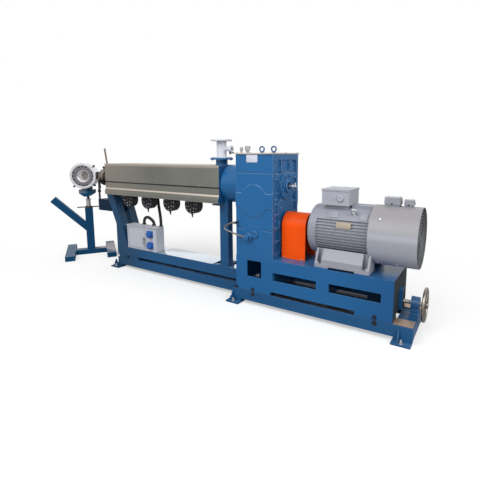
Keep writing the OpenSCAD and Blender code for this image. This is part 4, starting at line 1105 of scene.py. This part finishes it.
# %% Hub nut
NUT = [(0, 0), (0.013, 0), (0.013, 0.010), (0.011, 0.012), (0, 0.012)]
small_part("hub_nut", bolt_steel, body="handwheel", lathes=[
    (NUT, (882, 0, 235), RIGHT, 6), (disc(0.017, 0, 0.002), (890, 0, 235), RIGHT, 24)])

# %% [markdown]
# ## Pale studio
# The photograph is cut out on white. The floor is a large pale plane that keeps a soft shadow, and the
# world shows white to the camera and to reflections while it lights the machine at a plain level. White
# lamps could bleach the floor too, but they would bleach the paint with it.

# %% Floor
FLOOR_HALF, FLOOR_Z, WHITE = 60.0, -0.001, (1.0, 1.0, 1.0)
data = bpy.data.meshes.new("studio_floor")
data.from_pydata([(x * FLOOR_HALF, y * FLOOR_HALF, 0) for x, y in ((-1, -1), (1, -1), (1, 1), (-1, 1))], [],
                 [(0, 1, 2, 3)])
floor = placed("studio_floor", data)
floor.location.z = FLOOR_Z
pale = Finish("studio_pale", (0.40, 0.40, 0.42), 0.0, 0.9, 0.0)
seen = pale.add("ShaderNodeLightPath", out="Is Camera Ray")
pale.layer(seen, pale.blend(pale.noise(0.4, 2.0), (0.94, 0.94, 0.94), (0.96, 0.96, 0.96)))
far = (0.45 + 0.55 * pale.around((-1.2, -0.2, 0.0), UP)[0].above(2.4, 1.2)) * seen
glow = pale.add("ShaderNodeEmission", None, {"Color": WHITE, "Strength": 1.0})
join = pale.add("ShaderNodeMixShader", None, {0: far, 1: Wire(pale, pale.shader.outputs[0]), 2: glow})
pale.feed(pale.tree.nodes["Material Output"].inputs[0], join)
data.materials.append(pale.material)
print("floor:", 2 * FLOOR_HALF, "m wide")

# %% [markdown]
# The world is a node tree as well, so the same method builds it. Two large soft lamps stand where studio
# windows would, one before the machine and one beside it.

# %% World and lamps
world = bpy.data.worlds.new("studio_world")
bpy.context.scene.world = world
world.use_nodes = True
sky = Nodes(world.node_tree)
sky.tree.nodes.remove(sky.tree.nodes["Background"])
camera_ray = sky.add("ShaderNodeLightPath", out="Is Camera Ray")
glossy_ray = sky.add("ShaderNodeLightPath", out="Is Glossy Ray")
light, shown = (sky.add("ShaderNodeBackground", None, {"Color": WHITE, "Strength": s}) for s in (0.55, 1.0))
seen = camera_ray.maths("MAXIMUM", camera_ray, glossy_ray)
sky.feed(sky.tree.nodes["World Output"].inputs[0],
         sky.add("ShaderNodeMixShader", None, {0: seen, 1: light, 2: shown}))


def area_light(name, at, aim, size, power):
    """A square lamp that looks at a point."""
    data = bpy.data.lights.new(name, "AREA")
    data.shape, data.size, data.energy = "SQUARE", size, power
    lamp = placed(name, data)
    lamp.location = at
    lamp.rotation_mode = "QUATERNION"
    lamp.rotation_quaternion = (Vector(aim) - Vector(at)).to_track_quat("-Z", "Y")


area_light("key_softbox", (-1.5, -5.5, 6.0), (-0.9, 0, 0.7), 5.0, 420)
area_light("side_softbox", (5.5, -2.0, 4.0), (0, 0, 0.7), 4.0, 210)
bpy.context.scene.view_settings.view_transform = "Standard"
print("studio lit")

# %% [markdown]
# ## The photograph's camera
# The bed, the covers and the gear case run towards three vanishing points. They give the focal length,
# the tilt and the heading. The picture is a crop, so the optical centre isn't in its middle: that is a
# lens shift, not a turn.

# %% Camera
PICTURE, SENSOR = 480, 36.0  # pixels, mm
focal_px, centre_u, centre_v = 361.57, 262.0, 204.66
looks_down, heading = 7.821, 31.654  # degrees
lens_data = bpy.data.cameras.new("photo_camera")
lens_data.sensor_width = SENSOR
lens_data.lens = SENSOR * focal_px / PICTURE
lens_data.shift_x = (PICTURE / 2 - centre_u) / PICTURE
lens_data.shift_y = (centre_v - PICTURE / 2) / PICTURE
lens_data.clip_end = 200
camera = placed("photo_camera", lens_data)
camera.location = (1.194, -2.923, 1.381)
camera.rotation_euler = (math.radians(90 - looks_down), 0, math.radians(heading))
bpy.context.scene.camera = camera
print("lens", round(lens_data.lens, 2), "mm, shift", round(lens_data.shift_x, 4), round(lens_data.shift_y, 4))
